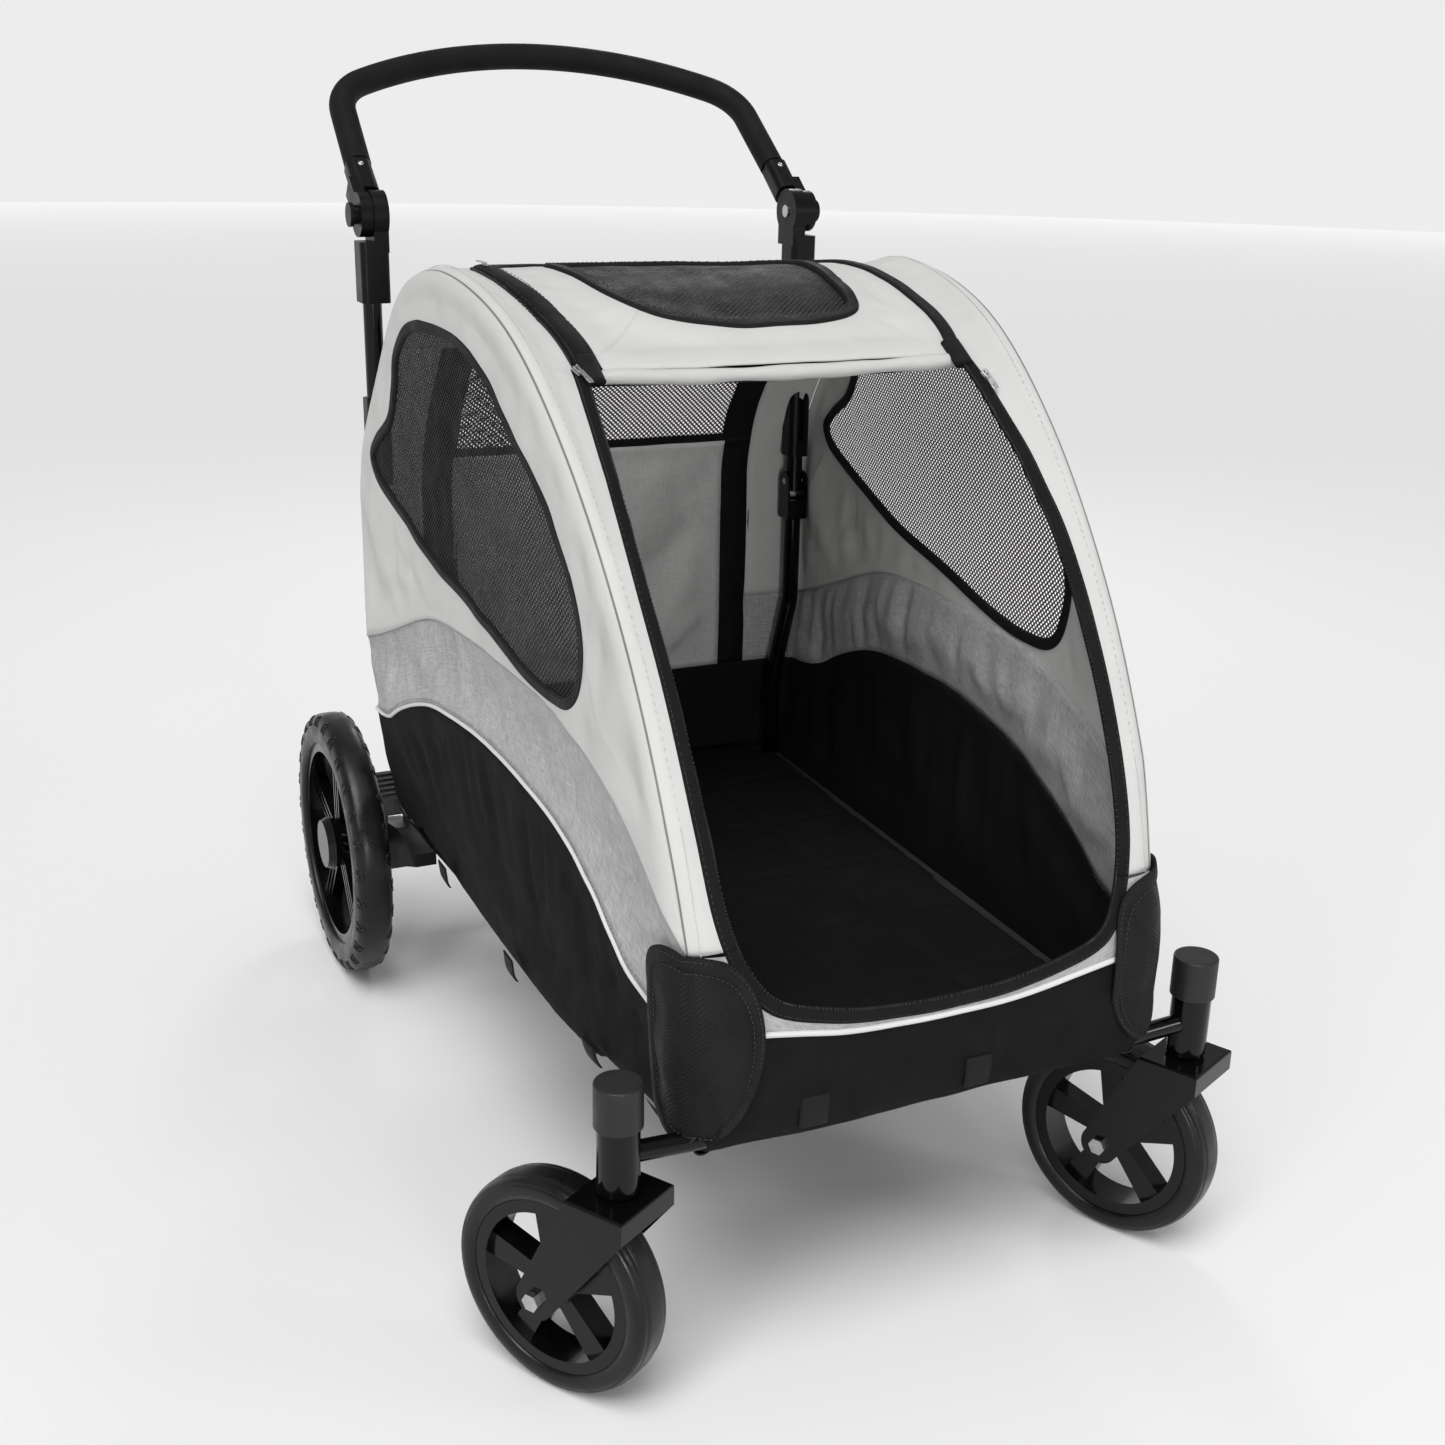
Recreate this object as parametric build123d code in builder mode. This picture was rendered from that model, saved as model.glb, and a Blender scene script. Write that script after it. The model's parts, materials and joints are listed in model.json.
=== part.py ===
from build123d import *
import os
from math import cos, radians, sin

# Pet stroller.  Millimetres, +Z up, the floor is Z = 0, the front is -Y, and X = 0 is the middle.
# The origin is the point on the floor under the middle of the cabin.

# ---- driving dimensions ----
SIDES = {"left": -1, "right": 1}

STEM_X, STEM_Y = 285, -500            # caster stems
FRONT_WHEEL_R, FRONT_TYRE_W = 100, 40
TRAIL = 60                            # wheel centre behind the stem
CASTER_TURN = {"left": 31.3, "right": 24.6}   # how far each caster is swivelled at rest, degrees
FORK_TOP = 208
FORK_W = 72
FRONT_RIM_R = 80
AXLE_BOLT_R = 5
SPINDLE_R = 8
HEAD_R = 18
HEAD_Z = (212, 280)
CAP_R, CAP_TOP = 20.5, 309.6

REAR_WHEEL_R, REAR_TYRE_W = 161, 44
REAR_TRACK = 291                      # wheel centre from the middle
AXLE_Y, AXLE_Z = 400, 161
REAR_RIM_R = 125
AXLE_ROD_R = 6
AXLE_TUBE_R = 11

TUBE_R, TUBE_WALL = 10, 1.5
RAIL_Z = 236
RAIL_FRONT_X, RAIL_REAR_X = 212, 236
CROSS_Y, CROSS_Z, CROSS_R = -504, 243, 9
UPRIGHT_X, UPRIGHT_Y = 257, 278
FOLD_Z = 600                          # fold pins
FOLD_PIN_R = 4
HANDLE_Z, HANDLE_Y = 918, 285         # handle pivots
HANDLE_LEAN = 38                      # handle plane above the horizontal, degrees
HANDLE_TUBE_R, GRIP_R = 11, 14.5
RUN = 0.05                            # running clearance on a radius

CLOTH = 3                             # modelled thickness of the cabin's fabric
TUB_Z = 210
NOSE_HALF, TAIL_HALF = 233, 276       # cabin half widths at the nose and the tail
NOSE_Y, TAIL_Y = -521, 300
BOARD_Z, MAT_Z, MAT_TOP = 247, 253, 265

# Side outline of the cabin, from the nose over the pillars and the roof to the tail (Y, Z)
CROWN = [(-521, 345), (-466, 503), (-388, 637), (-272, 767), (-144, 854), (0, 888), (92, 878)]
TAIL = [(148, 856), (228, 757), (282, 685), (300, 640), (TAIL_Y, TUB_Z), (-516, TUB_Z)]
# Top edge of the black tub and of the grey band on the side (Y, Z)
PIPING = [(-600, 343), (-450, 345), (-328, 399), (-171, 444), (41, 443), (130, 422), (216, 382), (340, 370)]
BAND_TOP = [(-600, 320), (-500, 404), (-427, 467), (-300, 526), (-100, 545), (68, 534), (235, 473),
            (340, 440)]
# Side window outline (Y, Z)
WINDOW = [(20, 829), (-100, 804), (-213, 735), (-294, 660), (-313, 590), (-285, 551), (-190, 553),
          (32, 595), (170, 636), (228, 668), (172, 721), (148, 787), (110, 819)]
# Half of the doorway, from the middle of the sill to the roof (X, Z)
DOORWAY = [(0, 335), (110, 345), (158, 365), (186, 410), (198, 520), (202, 660), (192, 806)]
# Seam between the tub and the front of the grey band (X, Z)
SILL_SEAM = [(-300, 350), (-170, 338), (0, 320), (170, 338), (300, 350)]
# Half of the roof light (X, Y)
SKYLIGHT = [(0, 50), (108, 50), (130, 32), (122, -70), (96, -112), (0, -130)]

os.makedirs("parts", exist_ok=True)


def placed(base, plane):
    """A plane given in a base plane's own coordinates."""
    return Plane(base.location * plane.location)


def caster_base(side):
    """Floor under a caster's stem, with X along the wheel axle and Y towards the trailing wheel."""
    turn = radians(CASTER_TURN[side])
    return Plane(origin=(SIDES[side] * STEM_X, STEM_Y, 0), x_dir=(cos(turn), sin(turn), 0), z_dir=(0, 0, 1))


def x_axis_rod(x_from, x_to, y, z, radius, bore=0, mode=Mode.ADD):
    """A round bar or tube along X, inside the current part."""
    start = Plane(origin=(x_from, y, z), x_dir=(0, 1, 0), z_dir=(1, 0, 0))
    with BuildSketch(start, mode=Mode.PRIVATE) as ring:
        Circle(radius)
        if bore:
            Circle(bore, mode=Mode.SUBTRACT)
    extrude(ring.sketch, amount=x_to - x_from, mode=mode)


# ---- front casters ----

def make_fork(side):
    base = caster_base(side)
    with BuildPart() as fork:
        with BuildSketch(placed(base, Plane.XY.offset(FORK_TOP - 4))):
            with Locations((0, -1)):
                Rectangle(FORK_W, 58)
        extrude(amount=4)
        for leg in (-FORK_W / 2, FORK_W / 2 - 4):
            with BuildSketch(placed(base, Plane.YZ.offset(leg))):
                with BuildLine():
                    Polyline((-30, FORK_TOP), (28, FORK_TOP), (76, 110), (44, 90), (-30, 188), close=True)
                make_face()
                with Locations((TRAIL, FRONT_WHEEL_R)):
                    Circle(19)
                    Circle(AXLE_BOLT_R, mode=Mode.SUBTRACT)
            extrude(amount=4)
        with BuildSketch(placed(base, Plane.XZ.offset(27))):
            with BuildLine():
                Polyline((-36, FORK_TOP), (36, FORK_TOP), (36, 188), (-36, 188), close=True)
            make_face()
        extrude(amount=3)
        top_face = fork.faces().filter_by(Axis.Z).sort_by(Axis.Z)[-1]
        rear_edge_length = FORK_W - 8
        long_edges = top_face.edges().filter_by(lambda edge: edge.length > 10)
        bends = long_edges.filter_by(lambda edge: abs(edge.length - rear_edge_length) > 1)
        fillet(bends, 2.5)
        with BuildSketch(placed(base, Plane.XY.offset(FORK_TOP - 1))):
            Circle(SPINDLE_R)
        extrude(amount=HEAD_Z[1] + 12 - FORK_TOP)
    fork.part.label = f"fork_{side}"
    export_step(fork.part, f"parts/fork_{side}.step")


def make_axle_bolt(side):
    """Axle bolt with its hex head outside, and its nut as a second solid."""
    base = caster_base(side)
    out = SIDES[side]
    half = FORK_W / 2

    def across(x, facing):
        return placed(base, Plane(origin=(x, TRAIL, FRONT_WHEEL_R), x_dir=(0, 1, 0), z_dir=(facing, 0, 0)))

    with BuildPart() as bolt:
        with BuildSketch(across(-out * (half + 5), out)):
            Circle(AXLE_BOLT_R)
        extrude(amount=2 * half + 5)
        with BuildSketch(across(out * half, out)):
            RegularPolygon(8.5, 6)
        extrude(amount=6)
        with BuildSketch(across(-out * half, -out)):
            RegularPolygon(8.5, 6)
            Circle(AXLE_BOLT_R, mode=Mode.SUBTRACT)
        extrude(amount=5)
    bolt.part.label = f"axle_bolt_{side}"
    export_step(bolt.part, f"parts/axle_bolt_{side}.step")


def wheel_plane(base, y, z):
    """Plane through a wheel's centre, with its normal along the axle."""
    return placed(base, Plane(origin=(0, y, z), x_dir=(0, 1, 0), z_dir=(1, 0, 0)))


def ring_about_axle(plane, r_in, r_out, half, mode=Mode.ADD):
    """A ring round the wheel's axle, inside the current part."""
    with BuildSketch(plane.offset(-half), mode=Mode.PRIVATE) as ring:
        Circle(r_out)
        if r_in:
            Circle(r_in, mode=Mode.SUBTRACT)
    extrude(ring.sketch, amount=2 * half, mode=mode)


def make_front_rim(side):
    plane = wheel_plane(caster_base(side), TRAIL, FRONT_WHEEL_R)
    hub_half = FORK_W / 2 - 4 - 0.3
    with BuildPart() as rim:
        ring_about_axle(plane, FRONT_RIM_R - 11, FRONT_RIM_R, 17)
        with BuildSketch(plane.offset(-11)):
            for spoke in range(5):
                with Locations(Rotation(0, 0, 72 * spoke + 12)):
                    with Locations((43, 0)):
                        Trapezoid(24, 62, 86, rotation=90)
        extrude(amount=22)
        ring_about_axle(plane, 0, 20, 15)
        ring_about_axle(plane, 0, 13, hub_half)
        ring_about_axle(plane, 0, AXLE_BOLT_R + RUN, hub_half + 1, mode=Mode.SUBTRACT)
    rim.part.label = f"front_rim_{side}"
    export_step(rim.part, f"parts/front_rim_{side}.step")


def make_tyre(name, plane, r_in, r_out, width, shoulder):
    with BuildPart() as tyre:
        ring_about_axle(plane, r_in, r_out, width / 2)
        treads = tyre.edges().filter_by(GeomType.CIRCLE).sort_by(SortBy.RADIUS)[-2:]
        fillet(treads, shoulder)
    tyre.part.label = name
    export_step(tyre.part, f"parts/{name}.step")


def make_caster_heads():
    with BuildPart() as heads:
        for out in SIDES.values():
            with BuildSketch(Plane(origin=(out * STEM_X, STEM_Y, HEAD_Z[0]))):
                Circle(HEAD_R)
                Circle(HEAD_R - 3, mode=Mode.SUBTRACT)
            extrude(amount=HEAD_Z[1] - HEAD_Z[0])
    heads.part.label = "caster_heads"
    export_step(heads.part, "parts/caster_heads.step")


def make_head_bearings():
    with BuildPart() as bearings:
        for out in SIDES.values():
            for z in (HEAD_Z[0], HEAD_Z[1] - 9):
                with BuildSketch(Plane(origin=(out * STEM_X, STEM_Y, z))):
                    Circle(HEAD_R - 3)
                    Circle(SPINDLE_R + RUN, mode=Mode.SUBTRACT)
                extrude(amount=9)
    bearings.part.label = "head_bearings"
    export_step(bearings.part, "parts/head_bearings.step")


def make_caster_caps():
    """Plastic caps that slip over the caster heads."""
    with BuildPart() as caps:
        for out in SIDES.values():
            with BuildSketch(Plane(origin=(out * STEM_X, STEM_Y, HEAD_Z[1] - 9))):
                Circle(CAP_R)
            extrude(amount=CAP_TOP - HEAD_Z[1] + 9)
        fillet(caps.edges().group_by(Axis.Z)[-1], 2)
        for out in SIDES.values():
            with BuildSketch(Plane(origin=(out * STEM_X, STEM_Y, HEAD_Z[1] - 9))):
                Circle(HEAD_R)
            extrude(amount=9, mode=Mode.SUBTRACT)
            with BuildSketch(Plane(origin=(out * STEM_X, STEM_Y, HEAD_Z[1]))):
                Circle(SPINDLE_R + 6)
            extrude(amount=CAP_TOP - HEAD_Z[1] - 4, mode=Mode.SUBTRACT)
    caps.part.label = "caster_caps"
    export_step(caps.part, "parts/caster_caps.step")


# ---- lower frame ----

def make_front_cross_tube():
    """Outrigger tube between the caster heads, coped to them."""
    with BuildPart() as cross:
        with BuildLine() as route:
            FilletPolyline((-STEM_X, STEM_Y, CROSS_Z), (-225, CROSS_Y, CROSS_Z), (225, CROSS_Y, CROSS_Z),
                           (STEM_X, STEM_Y, CROSS_Z), radius=60)
        with BuildSketch(Plane(origin=route.line @ 0, z_dir=route.line % 0)):
            Circle(CROSS_R)
            Circle(CROSS_R - TUBE_WALL, mode=Mode.SUBTRACT)
        sweep()
        for out in SIDES.values():
            with BuildSketch(Plane(origin=(out * STEM_X, STEM_Y, 200))):
                Circle(HEAD_R)
            extrude(amount=100, mode=Mode.SUBTRACT)
    keep = cross.solids().sort_by(SortBy.VOLUME)[-1]
    keep.label = "front_cross_tube"
    export_step(keep, "parts/front_cross_tube.step")


def rail_line(out):
    start = Vector(out * RAIL_FRONT_X, CROSS_Y, RAIL_Z)
    end = Vector(out * RAIL_REAR_X, TAIL_Y - 4, RAIL_Z)
    return start, end


def tube_between(start, end, radius, bore=0, mode=Mode.ADD):
    """A straight tube between two points, inside the current part."""
    run = end - start
    with BuildSketch(Plane(origin=start, z_dir=run), mode=Mode.PRIVATE) as section:
        Circle(radius)
        if bore:
            Circle(bore, mode=Mode.SUBTRACT)
    extrude(section.sketch, amount=run.length, mode=mode)


def make_side_rail(side):
    start, end = rail_line(SIDES[side])
    with BuildPart() as rail:
        tube_between(start, end, TUBE_R, TUBE_R - TUBE_WALL)
        x_axis_rod(-300, 300, CROSS_Y, CROSS_Z, CROSS_R, mode=Mode.SUBTRACT)
    keep = rail.solids().sort_by(SortBy.VOLUME)[-1]
    keep.label = f"side_rail_{side}"
    export_step(keep, f"parts/side_rail_{side}.step")


def make_cross_tubes():
    """Two tubes that tie the side rails together, coped to them."""
    with BuildPart() as ties:
        for y in (-150, 215):
            x_axis_rod(-230, 230, y, RAIL_Z, TUBE_R, TUBE_R - TUBE_WALL)
        for out in SIDES.values():
            start, end = rail_line(out)
            tube_between(start, end, TUBE_R, mode=Mode.SUBTRACT)
            with BuildSketch(Plane(origin=(out * 230, 0, RAIL_Z))):
                Rectangle(40, 700)
            extrude(amount=12, both=True, mode=Mode.SUBTRACT)
    ties.part.label = "cross_tubes"
    export_step(ties.part, "parts/cross_tubes.step")


def make_lower_uprights():
    """Short posts that stand on the side rails inside the cabin's rear corners."""
    with BuildPart() as posts:
        for out in SIDES.values():
            with BuildLine() as route:
                FilletPolyline((out * UPRIGHT_X, UPRIGHT_Y, FOLD_Z - 22), (out * UPRIGHT_X, UPRIGHT_Y, 450),
                               (out * RAIL_REAR_X, UPRIGHT_Y, 350), (out * RAIL_REAR_X, UPRIGHT_Y, RAIL_Z),
                               radius=60)
            with BuildSketch(Plane(origin=route.line @ 0, z_dir=(0, 0, -1))):
                Circle(TUBE_R)
                Circle(TUBE_R - TUBE_WALL, mode=Mode.SUBTRACT)
            sweep(path=route.line)
        for out in SIDES.values():
            start, end = rail_line(out)
            tube_between(start, end, TUBE_R, mode=Mode.SUBTRACT)
            with BuildSketch(Plane(origin=(out * RAIL_REAR_X, UPRIGHT_Y, RAIL_Z))):
                Rectangle(24, 24)
            extrude(amount=-30, mode=Mode.SUBTRACT)
            with BuildSketch(Plane(origin=(out * RAIL_REAR_X, UPRIGHT_Y, RAIL_Z))):
                Rectangle(30, 30)
            extrude(amount=6, mode=Mode.SUBTRACT)
    posts.part.label = "lower_uprights"
    export_step(posts.part, "parts/lower_uprights.step")


def make_axle_carrier(side):
    """Casting under each rail that holds the rear axle tube."""
    out = SIDES[side]
    with BuildPart() as carrier:
        with BuildSketch(Plane.YZ.offset(out * 238)):
            with BuildLine():
                Polyline((215, TUB_Z), (300, TUB_Z), (372, 196), (404, 182), (404, 140), (336, 142),
                         (262, 176), (215, 194), close=True)
            make_face()
            with Locations((AXLE_Y, AXLE_Z)):
                Circle(22)
            fillet(vertices().group_by(Axis.Y)[0].sort_by(Axis.Z)[0], 12)
            with Locations((AXLE_Y, AXLE_Z)):
                Circle(AXLE_TUBE_R, mode=Mode.SUBTRACT)
            with Locations((352, 188)):
                Circle(3 + RUN, mode=Mode.SUBTRACT)
        extrude(amount=12, both=True)
    carrier.part.label = f"axle_carrier_{side}"
    export_step(carrier.part, f"parts/axle_carrier_{side}.step")


def make_rear_axle():
    with BuildPart() as tube:
        x_axis_rod(-268, 268, AXLE_Y, AXLE_Z, AXLE_TUBE_R, AXLE_ROD_R)
    tube.part.label = "rear_axle_tube"
    export_step(tube.part, "parts/rear_axle_tube.step")
    with BuildPart() as rod:
        x_axis_rod(-309, 309, AXLE_Y, AXLE_Z, AXLE_ROD_R)
    rod.part.label = "rear_axle_rod"
    export_step(rod.part, "parts/rear_axle_rod.step")


def make_brake_pedal(side):
    """Foot pedal that straddles the axle carrier on its own pin."""
    out = SIDES[side]
    with BuildPart() as pedal:
        with BuildSketch(Plane.YZ.offset(out * 238)):
            with BuildLine():
                Polyline((344, 182), (360, 182), (366, 214), (394, 238), (391, 249), (340, 232), (336, 214),
                         close=True)
            make_face()
        extrude(amount=16, both=True)
        with BuildSketch(Plane.YZ.offset(out * 238)):
            with BuildLine():
                Polyline((330, 170), (410, 170), (410, 200), (366, 212), (330, 212), close=True)
            make_face()
        extrude(amount=12.4, both=True, mode=Mode.SUBTRACT)
        for rib in range(5):
            with BuildSketch(Plane(origin=(out * 238, 348 + 9 * rib, 234.7 + 3 * rib), x_dir=(1, 0, 0),
                                   z_dir=(0, -sin(radians(18.4)), cos(radians(18.4))))):
                Rectangle(32, 3)
            extrude(amount=3, both=True)
        x_axis_rod(out * 238 - 16, out * 238 + 16, 352, 188, 3)
    pedal.part.label = f"brake_pedal_{side}"
    export_step(pedal.part, f"parts/brake_pedal_{side}.step")


# ---- rear wheels ----

def make_rear_rim(side):
    out = SIDES[side]
    plane = wheel_plane(Plane(origin=(out * REAR_TRACK, 0, 0)), AXLE_Y, AXLE_Z)
    with BuildPart() as rim:
        ring_about_axle(plane, REAR_RIM_R - 11, REAR_RIM_R, 17)
        ring_about_axle(plane, 0, 30, 17)
        with BuildSketch(plane.offset(-7)):
            for group in range(5):
                for rib in (-10, 0, 10):
                    with Locations(Rotation(0, 0, 72 * group + 18)):
                        with Locations((71, rib)):
                            Rectangle(92, 3.4)
        extrude(amount=14)
        with BuildSketch(plane.offset(-out * 21.5)):
            Circle(42)
            with PolarLocations(36, 12):
                Circle(3, mode=Mode.SUBTRACT)
        extrude(amount=out * 5)
        ring_about_axle(plane, 0, AXLE_ROD_R + RUN, 30, mode=Mode.SUBTRACT)
    rim.part.label = f"rear_rim_{side}"
    export_step(rim.part, f"parts/rear_rim_{side}.step")


def make_hub_cap(side):
    """Domed cap that hides the axle's end."""
    out = SIDES[side]
    plane = wheel_plane(Plane(origin=(out * REAR_TRACK, 0, 0)), AXLE_Y, AXLE_Z)
    with BuildPart() as cap:
        with BuildSketch(plane.offset(out * 17)):
            Circle(34)
        extrude(amount=out * 9, taper=28)
        ring_about_axle(plane, 0, AXLE_ROD_R + 3, 21, mode=Mode.SUBTRACT)
    cap.part.label = f"hub_cap_{side}"
    export_step(cap.part, f"parts/hub_cap_{side}.step")


# ---- fold joint and uprights ----

def make_fold_brackets():
    """Clevises on top of the lower uprights."""
    with BuildPart() as brackets:
        for out in SIDES.values():
            with BuildSketch(Plane(origin=(out * UPRIGHT_X, UPRIGHT_Y, FOLD_Z - 46))):
                Rectangle(26, 24)
            extrude(amount=24)
            for plate in (-13, TUBE_R + 0.1):
                with BuildSketch(Plane.YZ.offset(out * UPRIGHT_X + plate)):
                    with Locations((UPRIGHT_Y, FOLD_Z - 23)):
                        Rectangle(24, 46)
                    with Locations((UPRIGHT_Y, FOLD_Z)):
                        Circle(12)
                extrude(amount=13 - TUBE_R - 0.1)
            with BuildSketch(Plane(origin=(out * UPRIGHT_X, UPRIGHT_Y, FOLD_Z - 60))):
                Circle(TUBE_R)
            extrude(amount=60 - 22, mode=Mode.SUBTRACT)
            x_axis_rod(out * UPRIGHT_X - 20, out * UPRIGHT_X + 20, UPRIGHT_Y, FOLD_Z, FOLD_PIN_R,
                       mode=Mode.SUBTRACT)
    brackets.part.label = "fold_brackets"
    export_step(brackets.part, "parts/fold_brackets.step")


def make_fold_pins():
    with BuildPart() as pins:
        for out in SIDES.values():
            x_axis_rod(out * UPRIGHT_X - 13, out * UPRIGHT_X + 13, UPRIGHT_Y, FOLD_Z, FOLD_PIN_R)
    pins.part.label = "fold_pins"
    export_step(pins.part, "parts/fold_pins.step")


def make_upright(side):
    out = SIDES[side]
    with BuildPart() as upright:
        with BuildSketch(Plane(origin=(out * UPRIGHT_X, UPRIGHT_Y, FOLD_Z - 12))):
            Circle(TUBE_R)
            Circle(TUBE_R - TUBE_WALL, mode=Mode.SUBTRACT)
        extrude(amount=890 - FOLD_Z + 12)
        x_axis_rod(out * UPRIGHT_X - 20, out * UPRIGHT_X + 20, UPRIGHT_Y, FOLD_Z, FOLD_PIN_R + RUN,
                   mode=Mode.SUBTRACT)
    upright.part.label = f"upright_{side}"
    export_step(upright.part, f"parts/upright_{side}.step")


def make_fold_latch(side):
    """Slotted plastic sleeve that slides up the upright to free the fold joint."""
    out = SIDES[side]
    with BuildPart() as latch:
        with BuildSketch(Plane(origin=(out * UPRIGHT_X, UPRIGHT_Y, 632))):
            RectangleRounded(25.6, 31, 8)
            Circle(TUBE_R + RUN, mode=Mode.SUBTRACT)
        extrude(amount=94)
        with BuildSketch(Plane.XZ.offset(-UPRIGHT_Y)):
            with Locations((out * UPRIGHT_X, 682)):
                SlotOverall(62, 8, rotation=90)
        extrude(amount=20, mode=Mode.SUBTRACT)
    latch.part.label = f"fold_latch_{side}"
    export_step(latch.part, f"parts/fold_latch_{side}.step")


# ---- handle ----

PIVOT_R = 25
SOCKET_IN, SOCKET_SPLIT, SOCKET_OUT = 239, 255, 270


def make_handle_sockets():
    """Plastic sockets on the uprights, each with the inner half of the handle's hinge."""
    with BuildPart() as sockets:
        for out in SIDES.values():
            with BuildSketch(Plane(origin=(out * (SOCKET_IN + SOCKET_OUT) / 2, HANDLE_Y - 4, 828))):
                RectangleRounded(SOCKET_OUT - SOCKET_IN, 34, 6)
            extrude(amount=HANDLE_Z - PIVOT_R - 2 - 828)
            x_axis_rod(out * SOCKET_IN, out * SOCKET_SPLIT, HANDLE_Y, HANDLE_Z, PIVOT_R)
            with BuildSketch(Plane(origin=(out * (SOCKET_IN + SOCKET_SPLIT) / 2, HANDLE_Y, 880))):
                Rectangle(SOCKET_SPLIT - SOCKET_IN, 38)
            extrude(amount=HANDLE_Z - 880)
            with BuildSketch(Plane(origin=(out * UPRIGHT_X, UPRIGHT_Y, 820))):
                Circle(TUBE_R)
            extrude(amount=70, mode=Mode.SUBTRACT)
            x_axis_rod(out * SOCKET_IN, out * (SOCKET_SPLIT + 1), HANDLE_Y, HANDLE_Z, 5, mode=Mode.SUBTRACT)
    sockets.part.label = "handle_sockets"
    export_step(sockets.part, "parts/handle_sockets.step")


def make_handle_pins():
    """Rivets that carry the handle, fixed in the sockets."""
    with BuildPart() as pins:
        for out in SIDES.values():
            x_axis_rod(out * (SOCKET_IN - 1.5), out * SOCKET_IN, HANDLE_Y, HANDLE_Z, 7)
            x_axis_rod(out * SOCKET_IN, out * (SOCKET_SPLIT + 6), HANDLE_Y, HANDLE_Z, 5)
    pins.part.label = "handle_pins"
    export_step(pins.part, "parts/handle_pins.step")


LEAN = radians(HANDLE_LEAN)
HANDLE_PLANE = Plane(origin=(0, HANDLE_Y, HANDLE_Z), x_dir=(1, 0, 0), z_dir=(0, -sin(LEAN), cos(LEAN)))
GRIP_START = 76                       # grip's lower ends, along the handle from its pivots
LOOP_TOP = 267
LOOP_CORNER = (244.5, 196)


def side_x(along):
    """Half width of the handle's straight sides at a distance from the pivots."""
    return 252 + (LOOP_CORNER[0] - 252) * along / LOOP_CORNER[1]


def handle_side_point(out, along):
    return HANDLE_PLANE.from_local_coords(Vector(out * side_x(along), along, 0))


def handle_route(start):
    """Centre line of the handle, in the handle's own plane, from both ends at a distance from the pivots."""
    end_x = side_x(start)
    with BuildLine(HANDLE_PLANE) as route:
        Line((end_x, start), LOOP_CORNER)
        ThreePointArc(LOOP_CORNER, (0, LOOP_TOP), (-LOOP_CORNER[0], LOOP_CORNER[1]))
        Line((-LOOP_CORNER[0], LOOP_CORNER[1]), (-end_x, start))
        corners = route.vertices().filter_by(lambda corner: abs(abs(corner.X) - LOOP_CORNER[0]) < 0.01)
        fillet(corners, 60)
    return route.line


def make_loop(name, start, radius, bore):
    route = handle_route(start)
    with BuildPart() as loop:
        with BuildSketch(Plane(origin=route @ 0, z_dir=route % 0)):
            Circle(radius)
            Circle(bore, mode=Mode.SUBTRACT)
        sweep(path=route)
    loop.part.label = name
    export_step(loop.part, f"parts/{name}.step")


def make_handle_arm(side):
    """Plastic arm with the outer half of the hinge, clamped on the handle tube."""
    out = SIDES[side]
    with BuildPart() as arm:
        x_axis_rod(out * (SOCKET_SPLIT + 0.3), out * 268, HANDLE_Y, HANDLE_Z, PIVOT_R - 2)
        with BuildSketch(placed(HANDLE_PLANE, Plane(origin=(out * 261.65, 22, 0)))):
            Rectangle(12.7, 44)
        extrude(amount=13, both=True)
        along_tube = Plane(origin=(out * 250.5, 28, 0), x_dir=(1, 0, 0), z_dir=(0, 1, 0))
        with BuildSketch(placed(HANDLE_PLANE, along_tube)):
            RectangleRounded(27, 27, 9)
        extrude(amount=GRIP_START - 30)
        tube_between(handle_side_point(out, 29.5), handle_side_point(out, 90), HANDLE_TUBE_R,
                     mode=Mode.SUBTRACT)
        x_axis_rod(out * 250, out * 262, HANDLE_Y, HANDLE_Z, 5 + RUN, mode=Mode.SUBTRACT)
        x_axis_rod(out * 262, out * 270, HANDLE_Y, HANDLE_Z, 10 + RUN, mode=Mode.SUBTRACT)
    arm.part.label = f"handle_arm_{side}"
    export_step(arm.part, f"parts/handle_arm_{side}.step")


def make_push_button(side):
    """Round button on the outside of the handle's hinge."""
    out = SIDES[side]
    with BuildPart() as button:
        x_axis_rod(out * 266.2, out * 273, HANDLE_Y, HANDLE_Z, 10)
        x_axis_rod(out * 272.5, out * 277, HANDLE_Y, HANDLE_Z, 12.5)
    button.part.label = f"push_button_{side}"
    export_step(button.part, f"parts/push_button_{side}.step")


# ---- cabin ----

def pulled_in(points, inset):
    """Corners of a clockwise outline, moved in by inset square to its sides."""
    moved = []
    for before, here, after in zip(points[-1:] + points[:-1], points, points[1:] + points[:1]):
        side_in = (Vector(*here) - Vector(*before)).normalized()
        side_out = (Vector(*after) - Vector(*here)).normalized()
        normal_in = Vector(side_in.Y, -side_in.X)
        normal_out = Vector(side_out.Y, -side_out.X)
        corner = Vector(*here) + (normal_in + normal_out) * (inset / (1 + normal_in.dot(normal_out)))
        moved.append((corner.X, corner.Y))
    return moved


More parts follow.
